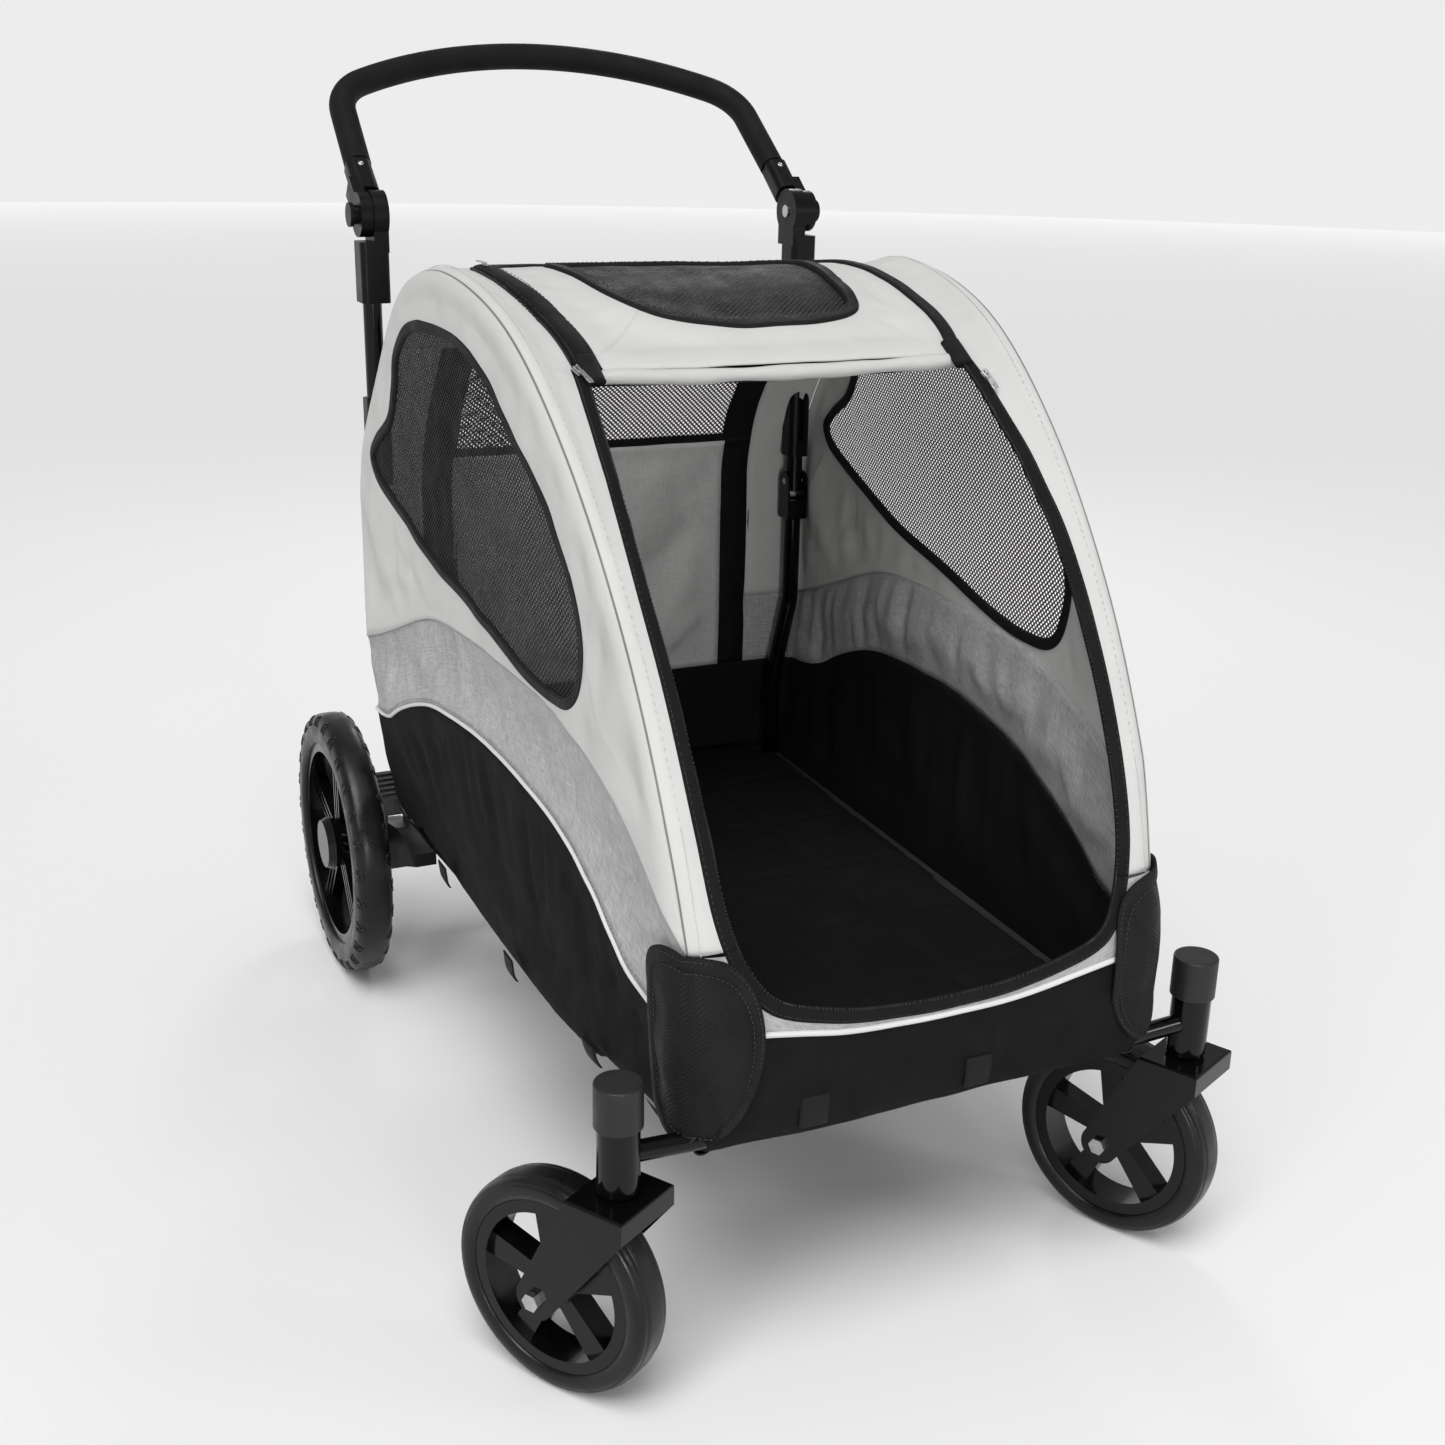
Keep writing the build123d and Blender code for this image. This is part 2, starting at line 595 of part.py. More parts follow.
def cabin_form(inset):
    """Solid envelope of the cabin, moved in all round by inset."""
    side_outline = pulled_in(CROWN + TAIL, inset)
    plan_outline = pulled_in([(-NOSE_HALF, NOSE_Y), (-TAIL_HALF, TAIL_Y), (TAIL_HALF, TAIL_Y),
                              (NOSE_HALF, NOSE_Y)], inset)
    end_outline = pulled_in([(-246, TUB_Z), (-262, 322), (-277, 420), (-277, 850), (-245, 890),
                             (245, 890), (277, 850), (277, 420), (262, 322), (246, TUB_Z)], inset)
    with BuildPart() as form:
        with BuildSketch(Plane.YZ):
            with BuildLine():
                crown = Spline(*side_outline[:len(CROWN)], tangents=[(0.05, 1), (1, -0.22)])
                Polyline(crown @ 1, *side_outline[len(CROWN):], crown @ 0)
            make_face()
        extrude(amount=300, both=True)
        with BuildSketch(Plane.XY):
            with BuildLine():
                Polyline(*plan_outline, close=True)
            make_face()
            fillet(vertices().group_by(Axis.Y)[0], 38 - inset)
            fillet(vertices().group_by(Axis.Y)[-1], 15 - inset)
        extrude(amount=1000, mode=Mode.INTERSECT)
        with BuildSketch(Plane.XZ):
            with BuildLine():
                Polyline(*end_outline, close=True)
            make_face()
        extrude(amount=700, both=True, mode=Mode.INTERSECT)
    return form.part


def below_side_curve(points, lift=0):
    """Everything under a seam that is drawn on the side."""
    seam_points = [(y, z + lift) for y, z in points]
    with BuildPart() as zone:
        with BuildSketch(Plane.YZ):
            with BuildLine():
                seam = Spline(*seam_points)
                Polyline(seam @ 1, (340, 100), (-600, 100), seam @ 0)
            make_face()
        extrude(amount=320, both=True)
    return zone.part


def above_sill(lift=0):
    """Space over the sill seam on the cabin's front wall, which dips in the middle."""
    with BuildPart() as zone:
        with BuildSketch(Plane.XZ.offset(478)):
            with BuildLine():
                sill = Spline(*[(x, z + lift) for x, z in SILL_SEAM])
                Polyline(sill @ 1, (300, 480), (-300, 480), sill @ 0)
            make_face()
        extrude(amount=120)
    return zone.part


def tub_zone(lift=0):
    with BuildPart() as zone:
        add(below_side_curve(PIPING, lift))
        add(above_sill(lift), mode=Mode.SUBTRACT)
    return zone.part


def doorway_prism(grow):
    """Space through the doorway, grown all round."""
    right_half = DOORWAY[::-1]
    left_half = [(-x, z) for x, z in DOORWAY[1:]]
    outline = pulled_in(right_half + left_half, -grow)
    with BuildPart() as prism:
        with BuildSketch(Plane.XZ.offset(150)):
            with BuildLine():
                edge = Spline(*outline)
                Line(edge @ 1, edge @ 0)
            make_face()
        extrude(amount=450)
    return prism.part


def window_prism():
    with BuildPart() as prism:
        with BuildSketch(Plane.YZ):
            with BuildLine():
                Spline(*WINDOW, periodic=True)
            make_face()
        extrude(amount=320, both=True)
    return prism.part


def skylight_prism():
    with BuildPart() as prism:
        with BuildSketch(Plane.XY.offset(700)):
            with BuildLine():
                Polyline(*SKYLIGHT)
                mirror(about=Plane.YZ)
            make_face()
        extrude(amount=300)
    return prism.part


def block(x, y, z):
    """A box between two limits on each axis."""
    with BuildPart() as box:
        with BuildSketch(Plane(origin=((x[0] + x[1]) / 2, (y[0] + y[1]) / 2, z[0]))):
            Rectangle(x[1] - x[0], y[1] - y[0])
        extrude(amount=z[1] - z[0])
    return box.part


def cut_cross_tube_holes():
    """Clear the current part from the front cross tube, where it leaves the cabin's corners."""
    for out in SIDES.values():
        bend = Vector(out * 225, CROSS_Y, CROSS_Z)
        outward = Vector(out * STEM_X, STEM_Y, CROSS_Z) - bend
        tube_between(Vector(out * 185, CROSS_Y, CROSS_Z), bend + Vector(out, 0, 0), CROSS_R + 1,
                     mode=Mode.SUBTRACT)
        tube_between(bend - outward.normalized(), bend + outward, CROSS_R + 1, mode=Mode.SUBTRACT)


def save(solids, name):
    """Write one node from a part or from several solids."""
    with BuildPart() as piece:
        add(solids)
    piece.part.label = name
    export_step(piece.part, f"parts/{name}.step")


def make_cabin():
    envelope = cabin_form(0)
    with BuildPart() as skin:
        add(envelope)
        add(cabin_form(CLOTH), mode=Mode.SUBTRACT)
        for out in SIDES.values():
            x = sorted((out * 241, out * 273))
            add(block(x, (259, 296.5), (640, 860)), mode=Mode.SUBTRACT)
        cut_cross_tube_holes()

    with BuildPart() as tub:
        add(skin.part)
        add(tub_zone(), mode=Mode.INTERSECT)
    tub.part.label = "tub"
    export_step(tub.part, "parts/tub.step")

    rear_zone = block((-206, 206), (225, 320), (340, 790))
    with BuildPart() as band:
        add(skin.part)
        add(below_side_curve(BAND_TOP), mode=Mode.INTERSECT)
        add(tub_zone(), mode=Mode.SUBTRACT)
        add(doorway_prism(14), mode=Mode.SUBTRACT)
        add(rear_zone, mode=Mode.SUBTRACT)
        add(block((-150, 150), (-540, -440), (300, 420)), mode=Mode.SUBTRACT)
    for side, out in SIDES.items():
        save([s for s in band.solids() if s.center().X * out > 60 and s.volume > 1000], f"side_band_{side}")

    with BuildPart() as upper:
        add(skin.part)
        add(tub_zone(), mode=Mode.SUBTRACT)
        add(below_side_curve(BAND_TOP), mode=Mode.SUBTRACT)

    with BuildPart() as windows:
        add(upper.part)
        add(window_prism(), mode=Mode.INTERSECT)
    for side, out in SIDES.items():
        save([s for s in windows.solids() if s.center().X * out > 0], f"window_mesh_{side}")

    roof_zone = block((-192, 192), (-190, 150), (700, 950))
    with BuildPart() as roof:
        add(upper.part)
        add(roof_zone, mode=Mode.INTERSECT)
        add(doorway_prism(14), mode=Mode.SUBTRACT)
    with BuildPart() as skylight:
        add(roof.part)
        add(skylight_prism(), mode=Mode.INTERSECT)
    save(skylight.part, "skylight_mesh")
    with BuildPart() as roof_panel:
        add(roof.part)
        add(skylight_prism(), mode=Mode.SUBTRACT)
    save(roof_panel.part, "roof_panel")

    with BuildPart() as rear_door:
        add(skin.part)
        add(rear_zone, mode=Mode.INTERSECT)
        add(tub_zone(), mode=Mode.SUBTRACT)
    save(rear_door.part, "rear_door")

    with BuildPart() as zipper:
        add(skin.part)
        add(doorway_prism(14), mode=Mode.INTERSECT)
        add(doorway_prism(0), mode=Mode.SUBTRACT)
        add(tub_zone(), mode=Mode.SUBTRACT)
    save(zipper.part, "front_zipper")

    with BuildPart() as canopy:
        add(upper.part)
        add(window_prism(), mode=Mode.SUBTRACT)
        add(roof_zone, mode=Mode.SUBTRACT)
        add(rear_zone, mode=Mode.SUBTRACT)
        add(doorway_prism(14), mode=Mode.SUBTRACT)
    save([s for s in canopy.solids() if s.volume > 500], "canopy_shell")

    with BuildPart() as overlay:
        add(cabin_form(-2.2))
        add(envelope, mode=Mode.SUBTRACT)
    with BuildPart() as piping:
        add(cabin_form(-2.2))
        add(tub_zone(2.5), mode=Mode.INTERSECT)
        add(tub_zone(-2.5), mode=Mode.SUBTRACT)
        add(envelope, mode=Mode.SUBTRACT)
    save(piping.part, "piping")

    patch_zone = [block(sorted((out * 176, out * 290)), (-540, -446), (236, 418)) for out in SIDES.values()]
    with BuildPart() as patches:
        add(overlay.part)
        with BuildPart(mode=Mode.PRIVATE) as zones:
            add(patch_zone)
        add(zones.part, mode=Mode.INTERSECT)
        add(piping.part, mode=Mode.SUBTRACT)
        cut_cross_tube_holes()
    patches.part.label = "corner_patches"
    export_step(patches.part, "parts/corner_patches.step")


def make_floor():
    """Stiff floor board and the mat on it."""
    for name, low, high, margin in (("floor_board", BOARD_Z, MAT_Z, 0), ("floor_mat", MAT_Z, MAT_TOP, 4)):
        with BuildPart() as sheet:
            with BuildSketch(Plane.XY.offset(low)):
                with BuildLine():
                    Polyline((-222 + margin, -492 + margin), (222 - margin, -492 + margin),
                             (240 - margin, 292 - margin), (-240 + margin, 292 - margin), close=True)
                make_face()
                fillet(vertices().group_by(Axis.Y)[0], 34)
                for out in SIDES.values():
                    with Locations((out * 240, 280)):
                        Rectangle(36, 40, mode=Mode.SUBTRACT)
            extrude(amount=high - low)
        sheet.part.label = name
        export_step(sheet.part, f"parts/{name}.step")


def make_door_roll():
    """Mesh door, rolled up and tucked under the roof's front edge."""
    with BuildPart() as roll:
        x_axis_rod(-176, 176, -176, 809, 13)
        fillet(roll.edges().filter_by(GeomType.CIRCLE), 4)
    roll.part.label = "door_roll"
    export_step(roll.part, "parts/door_roll.step")


def make_webbing_tabs():
    """Short webbing loops on the tub's bottom edges."""
    with BuildPart() as tabs:
        for x in (-120, 40):
            add(block((x - 15, x + 15), (-518, -506), (207, TUB_Z)))
        for y in (-190, -20, 150):
            for out in SIDES.values():
                x = sorted((out * 232, out * 242))
                add(block(x, (y - 13, y + 13), (207, TUB_Z)))
    tabs.part.label = "webbing_tabs"
    export_step(tabs.part, "parts/webbing_tabs.step")


def main():
    for side, out in SIDES.items():
        make_fork(side)
        make_axle_bolt(side)
        make_front_rim(side)
        make_tyre(f"front_tyre_{side}", wheel_plane(caster_base(side), TRAIL, FRONT_WHEEL_R),
                  FRONT_RIM_R, FRONT_WHEEL_R, FRONT_TYRE_W, 13)
        make_side_rail(side)
        make_axle_carrier(side)
        make_brake_pedal(side)
        make_rear_rim(side)
        make_tyre(f"rear_tyre_{side}", wheel_plane(Plane(origin=(out * REAR_TRACK, 0, 0)), AXLE_Y, AXLE_Z),
                  REAR_RIM_R, REAR_WHEEL_R, REAR_TYRE_W, 17)
        make_hub_cap(side)
        make_upright(side)
        make_fold_latch(side)
        make_handle_arm(side)
        make_push_button(side)
    make_caster_heads()
    make_head_bearings()
    make_caster_caps()
    make_front_cross_tube()
    make_cross_tubes()
    make_lower_uprights()
    make_rear_axle()
    make_fold_brackets()
    make_fold_pins()
    make_handle_sockets()
    make_handle_pins()
    make_loop("handle_tube", 30, HANDLE_TUBE_R, HANDLE_TUBE_R - TUBE_WALL)
    make_loop("foam_grip", GRIP_START, GRIP_R, HANDLE_TUBE_R)
    make_cabin()
    make_floor()
    make_door_roll()
    make_webbing_tabs()


main()
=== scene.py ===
"""Looks of the pet stroller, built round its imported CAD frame.  Metres, +Z up, the front is -Y."""
import json
import bpy
import bmesh
import numpy as np
from math import cos, pi, radians, sin
from mathutils import Matrix, Vector
from mathutils.kdtree import KDTree


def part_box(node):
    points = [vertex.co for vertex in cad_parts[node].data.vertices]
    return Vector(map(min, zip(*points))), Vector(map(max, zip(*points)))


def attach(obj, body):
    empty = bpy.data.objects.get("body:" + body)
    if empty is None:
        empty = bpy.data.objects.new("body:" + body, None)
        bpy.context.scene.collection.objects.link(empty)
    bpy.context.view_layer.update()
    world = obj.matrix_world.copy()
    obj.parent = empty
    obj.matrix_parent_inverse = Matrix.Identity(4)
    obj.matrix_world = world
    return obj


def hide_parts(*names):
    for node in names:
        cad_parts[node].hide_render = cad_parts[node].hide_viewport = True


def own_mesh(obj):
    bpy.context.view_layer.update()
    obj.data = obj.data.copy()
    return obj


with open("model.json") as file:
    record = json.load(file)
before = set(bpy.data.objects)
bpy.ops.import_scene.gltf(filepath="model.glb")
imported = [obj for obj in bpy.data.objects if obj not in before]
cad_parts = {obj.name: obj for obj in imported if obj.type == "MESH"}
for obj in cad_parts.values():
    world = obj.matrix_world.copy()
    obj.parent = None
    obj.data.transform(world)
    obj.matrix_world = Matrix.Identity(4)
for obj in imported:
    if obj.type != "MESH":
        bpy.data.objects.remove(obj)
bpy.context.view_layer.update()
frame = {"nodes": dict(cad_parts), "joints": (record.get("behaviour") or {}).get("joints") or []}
scene = bpy.context.scene
SIDES = {"left": -1, "right": 1}
JOINTS = {joint["name"]: joint for joint in frame["joints"]}


# ---------------------------------------------------------------- camera and light

CAMERA_PLACE = (-0.7484, -1.6563, 1.0477)
CAMERA_YAW, CAMERA_PITCH, CAMERA_ROLL = radians(25.34), radians(19.33), radians(1.219)
LENS_MM, SENSOR_MM = 44.78, 36


def make_camera():
    camera = bpy.data.objects.new("camera", bpy.data.cameras.new("camera"))
    scene.collection.objects.link(camera)
    flat = cos(CAMERA_PITCH)
    forward = Vector((sin(CAMERA_YAW) * flat, cos(CAMERA_YAW) * flat, -sin(CAMERA_PITCH)))
    level = Vector((cos(CAMERA_YAW), -sin(CAMERA_YAW), 0))
    upright = level.cross(forward)
    right = level * cos(CAMERA_ROLL) + upright * sin(CAMERA_ROLL)
    up = upright * cos(CAMERA_ROLL) - level * sin(CAMERA_ROLL)
    turn = Matrix((right, up, -forward)).transposed()
    camera.matrix_world = Matrix.Translation(CAMERA_PLACE) @ turn.to_4x4()
    camera.data.lens = LENS_MM
    camera.data.sensor_width = SENSOR_MM
    scene.camera = camera


WORLD_COLOUR, WORLD_STRENGTH = (0.93, 0.94, 0.95, 1), 0.36
SUN_POWER, SUN_SPREAD, SUN_AIM = 2.2, radians(38), (0.42, 0.62, -1.5)
# Place, target, size and watts of each soft light
LIGHTS = {"key": ((-1.9, -1.5, 1.9), (0, 0, 0.4), 0.7, 9),
          "front_strip": ((1.9, -2.0, 1.3), (0, 0, 0.45), 0.5, 6),
          "inside_fill": ((-0.5, -2.6, 0.75), (0, 0.2, 0.6), 0.6, 13),
          "rim": ((1.2, 2.4, 2.2), (0, 0, 0.6), 0.7, 12)}
STAGE_RADIUS, STAGE_HEIGHT, STAGE_SIDES = 16.0, 4.0, 96


def hang(light, aim, place=(0, 0, 0)):
    """Put a light at a place, shining along aim."""
    holder = bpy.data.objects.new(light.name, light)
    scene.collection.objects.link(holder)
    holder.location = place
    holder.rotation_mode = "QUATERNION"
    holder.rotation_quaternion = Vector(aim).to_track_quat("-Z", "Y")


def make_studio():
    scene.view_settings.view_transform = "Standard"
    scene.view_settings.look = "None"
    scene.world = bpy.data.worlds.new("studio")
    scene.world.use_nodes = True
    background = scene.world.node_tree.nodes["Background"].inputs
    background["Color"].default_value = WORLD_COLOUR
    background["Strength"].default_value = WORLD_STRENGTH
    sun = bpy.data.lights.new("sun", "SUN")
    sun.energy, sun.angle = SUN_POWER, SUN_SPREAD
    hang(sun, SUN_AIM)
    for name, (place, target, size, watts) in LIGHTS.items():
        light = bpy.data.lights.new(name, "AREA")
        light.shape = "DISK"
        light.size, light.energy = size, watts
        hang(light, Vector(target) - Vector(place), place)
    turns = np.linspace(0, 2 * pi, STAGE_SIDES, endpoint=False)
    foot = [(STAGE_RADIUS * cos(t), STAGE_RADIUS * sin(t), 0) for t in turns]
    top = [(x, y, STAGE_HEIGHT) for x, y, _ in foot]
    floor = new_object("floor", foot, [range(STAGE_SIDES)], FLOOR, smooth=False)
    sides = [face[::-1] for face in grid_faces(2, STAGE_SIDES, wrap=True)]
    wall = new_object("backdrop", foot + top, sides, BACKDROP)


# ---------------------------------------------------------------- materials

def node(tree, kind, output, sockets, **settings):
    """The output of a new node, whose sockets are set to numbers or colours or linked to other outputs."""
    made = tree.nodes.new(kind)
    for setting, value in settings.items():
        setattr(made, setting, value)
    for socket, value in sockets.items():
        if isinstance(value, bpy.types.NodeSocket):
            tree.links.new(value, made.inputs[socket])
        else:
            made.inputs[socket].default_value = value
    return made.outputs[output]


def math_node(tree, operation, *values):
    return node(tree, "ShaderNodeMath", 0, dict(enumerate(values)), operation=operation)


def noise_node(tree, place, lump, detail=3.0, stretch=None):
    """Noise with lumps of about that many metres."""
    if stretch:
        place = node(tree, "ShaderNodeMapping", "Vector", {"Scale": stretch, "Vector": place})
    return node(tree, "ShaderNodeTexNoise", "Fac", {"Scale": 1 / lump, "Detail": detail, "Vector": place})


def weave_height(tree, place, pitch):
    """Height of a plain weave, 0 to 1, over flat cloth coordinates in metres."""
    split = tree.nodes.new("ShaderNodeSeparateXYZ")
    tree.links.new(place, split.inputs[0])
    warp, weft = [math_node(tree, "SINE", math_node(tree, "MULTIPLY", split.outputs[k], pi / pitch))
                  for k in (0, 1)]
    over = math_node(tree, "GREATER_THAN", math_node(tree, "MULTIPLY", warp, weft), 0.0)
    under = math_node(tree, "SUBTRACT", 1.0, over)
    return math_node(tree, "ADD", *[math_node(tree, "MULTIPLY", math_node(tree, "ABSOLUTE", thread), share)
                                    for thread, share in ((warp, over), (weft, under))])


def mixed(tree, kind, factor, a, b):
    """Mix of two colours."""
    return node(tree, "ShaderNodeMix", "Result", {"Factor": factor, "A": a, "B": b},
                data_type="RGBA", blend_type=kind)


def ranged(tree, factor, low, high):
    """The middle of a noise's range spread over low to high."""
    return node(tree, "ShaderNodeMapRange", "Result",
                {"To Min": low, "To Max": high, "From Min": 0.3, "From Max": 0.7, "Value": factor})


def material(name, colour, rough, metal=0.0, coat=0.0, sheen=0.0, spec=0.5, tint=0.1, tint_size=0.06,
             rough_spread=0.08, grain=None, weave=None, melange=None, brushed=None):
    """Principled surface whose colour and roughness vary, with grain, weave, melange or brushing if asked."""
    made = bpy.data.materials.new(name)
    made.use_nodes = True
    tree = made.node_tree
    shader = tree.nodes["Principled BSDF"].inputs
    for socket, value in {"Metallic": metal, "Coat Weight": coat, "Coat Roughness": 0.08, "Sheen Weight": sheen,
                          "Sheen Roughness": 0.5, "Specular IOR Level": spec}.items():
        shader[socket].default_value = value
    places = tree.nodes.new("ShaderNodeTexCoord").outputs
    here, cloth = places["Object"], places["UV"]
    dark, light = [(*(min(1.0, c * share) for c in colour), 1) for share in (1 - tint, 1 + tint)]
    shade = mixed(tree, "MIX", ranged(tree, noise_node(tree, here, tint_size), 0.0, 1.0), dark, light)
    height, depth = None, 0.0
    if melange:
        size, strength = melange
        across, along = [noise_node(tree, cloth, size, 2.0, stretch)
                         for stretch in ((1.0, 0.16, 1.0), (0.16, 1.0, 1.0))]
        flecks = math_node(tree, "MULTIPLY", math_node(tree, "ADD", across, along), 0.5)
        shade = mixed(tree, "MULTIPLY", 1.0, shade, ranged(tree, flecks, 1.0 - strength, 1.0 + strength))
    if weave:
        pitch, depth = weave
        height = weave_height(tree, cloth, pitch)
        # Painted shade in the weave: the low places between the threads are painted darker than the threads on top.
        shade = mixed(tree, "MULTIPLY", 0.5, shade, ranged(tree, height, 0.8, 1.06))
    if grain:
        size, depth = grain
        height = noise_node(tree, here, size, 4.0)
    if brushed:
        height, depth = noise_node(tree, here, 0.0008, 2.0, brushed), 0.00003
    tree.links.new(shade, shader["Base Color"])
    wear = noise_node(tree, here, tint_size * 0.4, 5.0)
    tree.links.new(ranged(tree, wear, max(0.02, rough - rough_spread), min(1.0, rough + rough_spread)),
                   shader["Roughness"])
    if height is not None:
        bump = node(tree, "ShaderNodeBump", "Normal", {"Strength": 0.9, "Distance": depth, "Height": height})
        tree.links.new(bump, shader["Normal"])
    return made


BLACK, CLOTH_BLACK = (0.006, 0.006, 0.0065), (0.0065, 0.0065, 0.007)
THREAD_GRAIN = (0.0006, 0.0001)
FLOOR = material("pale_floor", (0.75, 0.75, 0.75), 0.9, spec=0.0, tint=0.004, tint_size=1.5)
BACKDROP = material("backdrop", (0.05, 0.05, 0.05), 0.9, spec=0.0, tint=0.01, tint_size=3.0)
BACKDROP.node_tree.nodes["Principled BSDF"].inputs["Emission Color"].default_value = (0.8, 0.8, 0.8, 1)
BACKDROP.node_tree.nodes["Principled BSDF"].inputs["Emission Strength"].default_value = 1.0
LIGHT_CLOTH = material("light_cloth", (0.56, 0.56, 0.545), 0.82, sheen=0.1, spec=0.3, tint=0.02,
                       weave=(0.0011, 0.0001))
# The rear wall's grey cloth is given a colour as light as the light cloth and lighter than the grey band. This is
# partly its own light grey and partly painted light, standing in for light that comes through the cabin's cloth onto
# the inside of the rear wall.
REAR_CLOTH = material("rear_grey_cloth_painted_light", (0.56, 0.56, 0.55), 0.85, sheen=0.1, spec=0.3, tint=0.03,
                      weave=(0.0012, 0.00014), melange=(0.0022, 0.12))
GREY_CLOTH = material("grey_melange_cloth", (0.385, 0.385, 0.385), 0.85, sheen=0.12, spec=0.25, tint=0.04,
                      weave=(0.0012, 0.00014), melange=(0.0022, 0.3))
BLACK_CLOTH = material("black_cloth", CLOTH_BLACK, 0.85, spec=0.13, tint=0.15, weave=(0.0011, 0.00012))
PATCH_CLOTH = material("coarse_black_cloth", CLOTH_BLACK, 0.58, spec=0.18, tint=0.15, weave=(0.0019, 0.0004))
NET = material("black_net", BLACK, 0.6, spec=0.15, grain=THREAD_GRAIN)
WHITE_PIPING = material("white_piping", (0.62, 0.62, 0.61), 0.55, sheen=0.1, tint=0.03, weave=(0.0009, 0.00008))
BINDING = material("black_binding", BLACK, 0.6, spec=0.2, weave=(0.0014, 0.0003))
ZIP_TAPE = material("zip_tape", BLACK, 0.7, spec=0.15, weave=(0.001, 0.0002))
ZIP_TEETH = material("zip_coil", (0.01, 0.01, 0.011), 0.32, spec=0.4, grain=(0.001, 0.00005))
LIGHT_THREAD = material("light_thread", (0.55, 0.55, 0.535), 0.7, grain=THREAD_GRAIN)
GREY_THREAD = material("grey_thread", (0.16, 0.16, 0.165), 0.7, grain=THREAD_GRAIN)
BLACK_THREAD = material("black_thread", (0.03, 0.03, 0.031), 0.55, spec=0.3, grain=THREAD_GRAIN)
SEAM = material("dark_seam", (0.16, 0.16, 0.16), 0.8, grain=(0.0008, 0.0001))
GLOSS_PAINT = material("gloss_black_paint", (0.0022, 0.0022, 0.0024), 0.13, coat=0.12, spec=0.22, tint=0.1,
                       rough_spread=0.04, grain=(0.0016, 0.00001))
SATIN_PLASTIC = material("satin_black_plastic", (0.004, 0.004, 0.0044), 0.36, spec=0.16, tint=0.12,
                         grain=(0.0007, 0.00006))
CAP_PLASTIC = material("matte_black_plastic", (0.013, 0.013, 0.014), 0.45, spec=0.34, tint=0.1,
                       grain=(0.0008, 0.00008))
GLOSS_PLASTIC = material("gloss_black_plastic", (0.0025, 0.0025, 0.0027), 0.17, spec=0.28, tint=0.12,
                         rough_spread=0.05, grain=(0.003, 0.00003))
PEDAL_PLASTIC = material("grey_plastic", (0.04, 0.04, 0.043), 0.5, tint=0.1, grain=(0.0008, 0.00008))
RUBBER = material("tyre_rubber", (0.0045, 0.0045, 0.0048), 0.33, spec=0.32, tint=0.2, rough_spread=0.12,
                  grain=(0.0009, 0.00008))
FOAM = material("grip_foam", BLACK, 0.7, spec=0.16, tint=0.15, grain=(0.0011, 0.00022))
ZINC = material("zinc_steel", (0.5, 0.5, 0.51), 0.3, metal=1.0, tint=0.08, tint_size=0.01,
                brushed=(1.0, 0.1, 1.0))
BOARD = material("floor_board", (0.02, 0.02, 0.02), 0.7, grain=(0.001, 0.0001))

CAD_MATERIALS = {
    GLOSS_PAINT: ["fork_*", "caster_heads", "front_cross_tube", "cross_tubes", "lower_uprights", "side_rail_*",
                  "rear_axle_tube", "upright_*", "handle_tube", "fold_brackets"],
    GLOSS_PLASTIC: ["front_rim_*", "rear_rim_*", "hub_cap_*"],
    SATIN_PLASTIC: ["handle_arm_*", "handle_sockets", "push_button_*", "axle_carrier_*", "fold_latch_*"],
    CAP_PLASTIC: ["caster_caps"],
    PEDAL_PLASTIC: ["brake_pedal_*"],
    FOAM: ["foam_grip"],
    ZINC: ["axle_bolt_*", "head_bearings", "rear_axle_rod", "fold_pins", "handle_pins"],
    BOARD: ["floor_board"],
}


def dress_cad_nodes():
    for finish, names in CAD_MATERIALS.items():
        for name in names:
            for part in ([name.replace("*", side) for side in SIDES] if "*" in name else [name]):
                frame["nodes"][part].data.materials.clear()
                frame["nodes"][part].data.materials.append(finish)


# ---------------------------------------------------------------- curves and meshes

def unit(vectors):
    return vectors / np.linalg.norm(vectors, axis=-1)[..., None]


def pair(*parts):
    """Arrays side by side as coordinates; a single number is used for every point."""
    return np.stack(np.broadcast_arrays(*parts), -1)


def running(line):
    """Distance from the start of a line to each of its points."""
    return np.concatenate([[0], np.cumsum(np.linalg.norm(np.diff(line, axis=0), axis=1))])


def smooth_line(points, count, closed=False):
    """Evenly spaced points on a smooth curve through the given ones."""
    p = np.array(points, float)
    p = np.vstack([p[-1], p, p[0], p[1]]) if closed else np.vstack([2 * p[0] - p[1], p, 2 * p[-1] - p[-2]])
    fine = []
    for a, b, c, d in zip(p[:-3], p[1:-2], p[2:-1], p[3:]):
        t1 = np.linalg.norm(b - a) ** 0.5
        t2 = t1 + np.linalg.norm(c - b) ** 0.5
        t3 = t2 + np.linalg.norm(d - c) ** 0.5
        t = np.linspace(t1, t2, 24, endpoint=False)[:, None]
        ab, bc, cd = (t1 - t) / t1 * a + t / t1 * b, ((t2 - t) * b + (t - t1) * c) / (t2 - t1), \
            ((t3 - t) * c + (t - t2) * d) / (t3 - t2)
        abc, bcd = (t2 - t) / t2 * ab + t / t2 * bc, ((t3 - t) * bc + (t - t1) * cd) / (t3 - t1)
        fine.append(((t2 - t) * abc + (t - t1) * bcd) / (t2 - t1))
    fine = np.vstack(fine + [p[-2][None]])
    return even(fine, count, closed)


def even(line, count, closed=False):
    """The same line with its points evenly spaced; a closed line comes back without its repeated end."""
    run = running(line)
    wanted = np.linspace(0, run[-1], count + 1)[:-1] if closed else np.linspace(0, run[-1], count)
    return pair(*[np.interp(wanted, run, line[:, k]) for k in range(line.shape[1])])


def length_of(line):
    return float(np.linalg.norm(np.diff(line, axis=0), axis=1).sum())


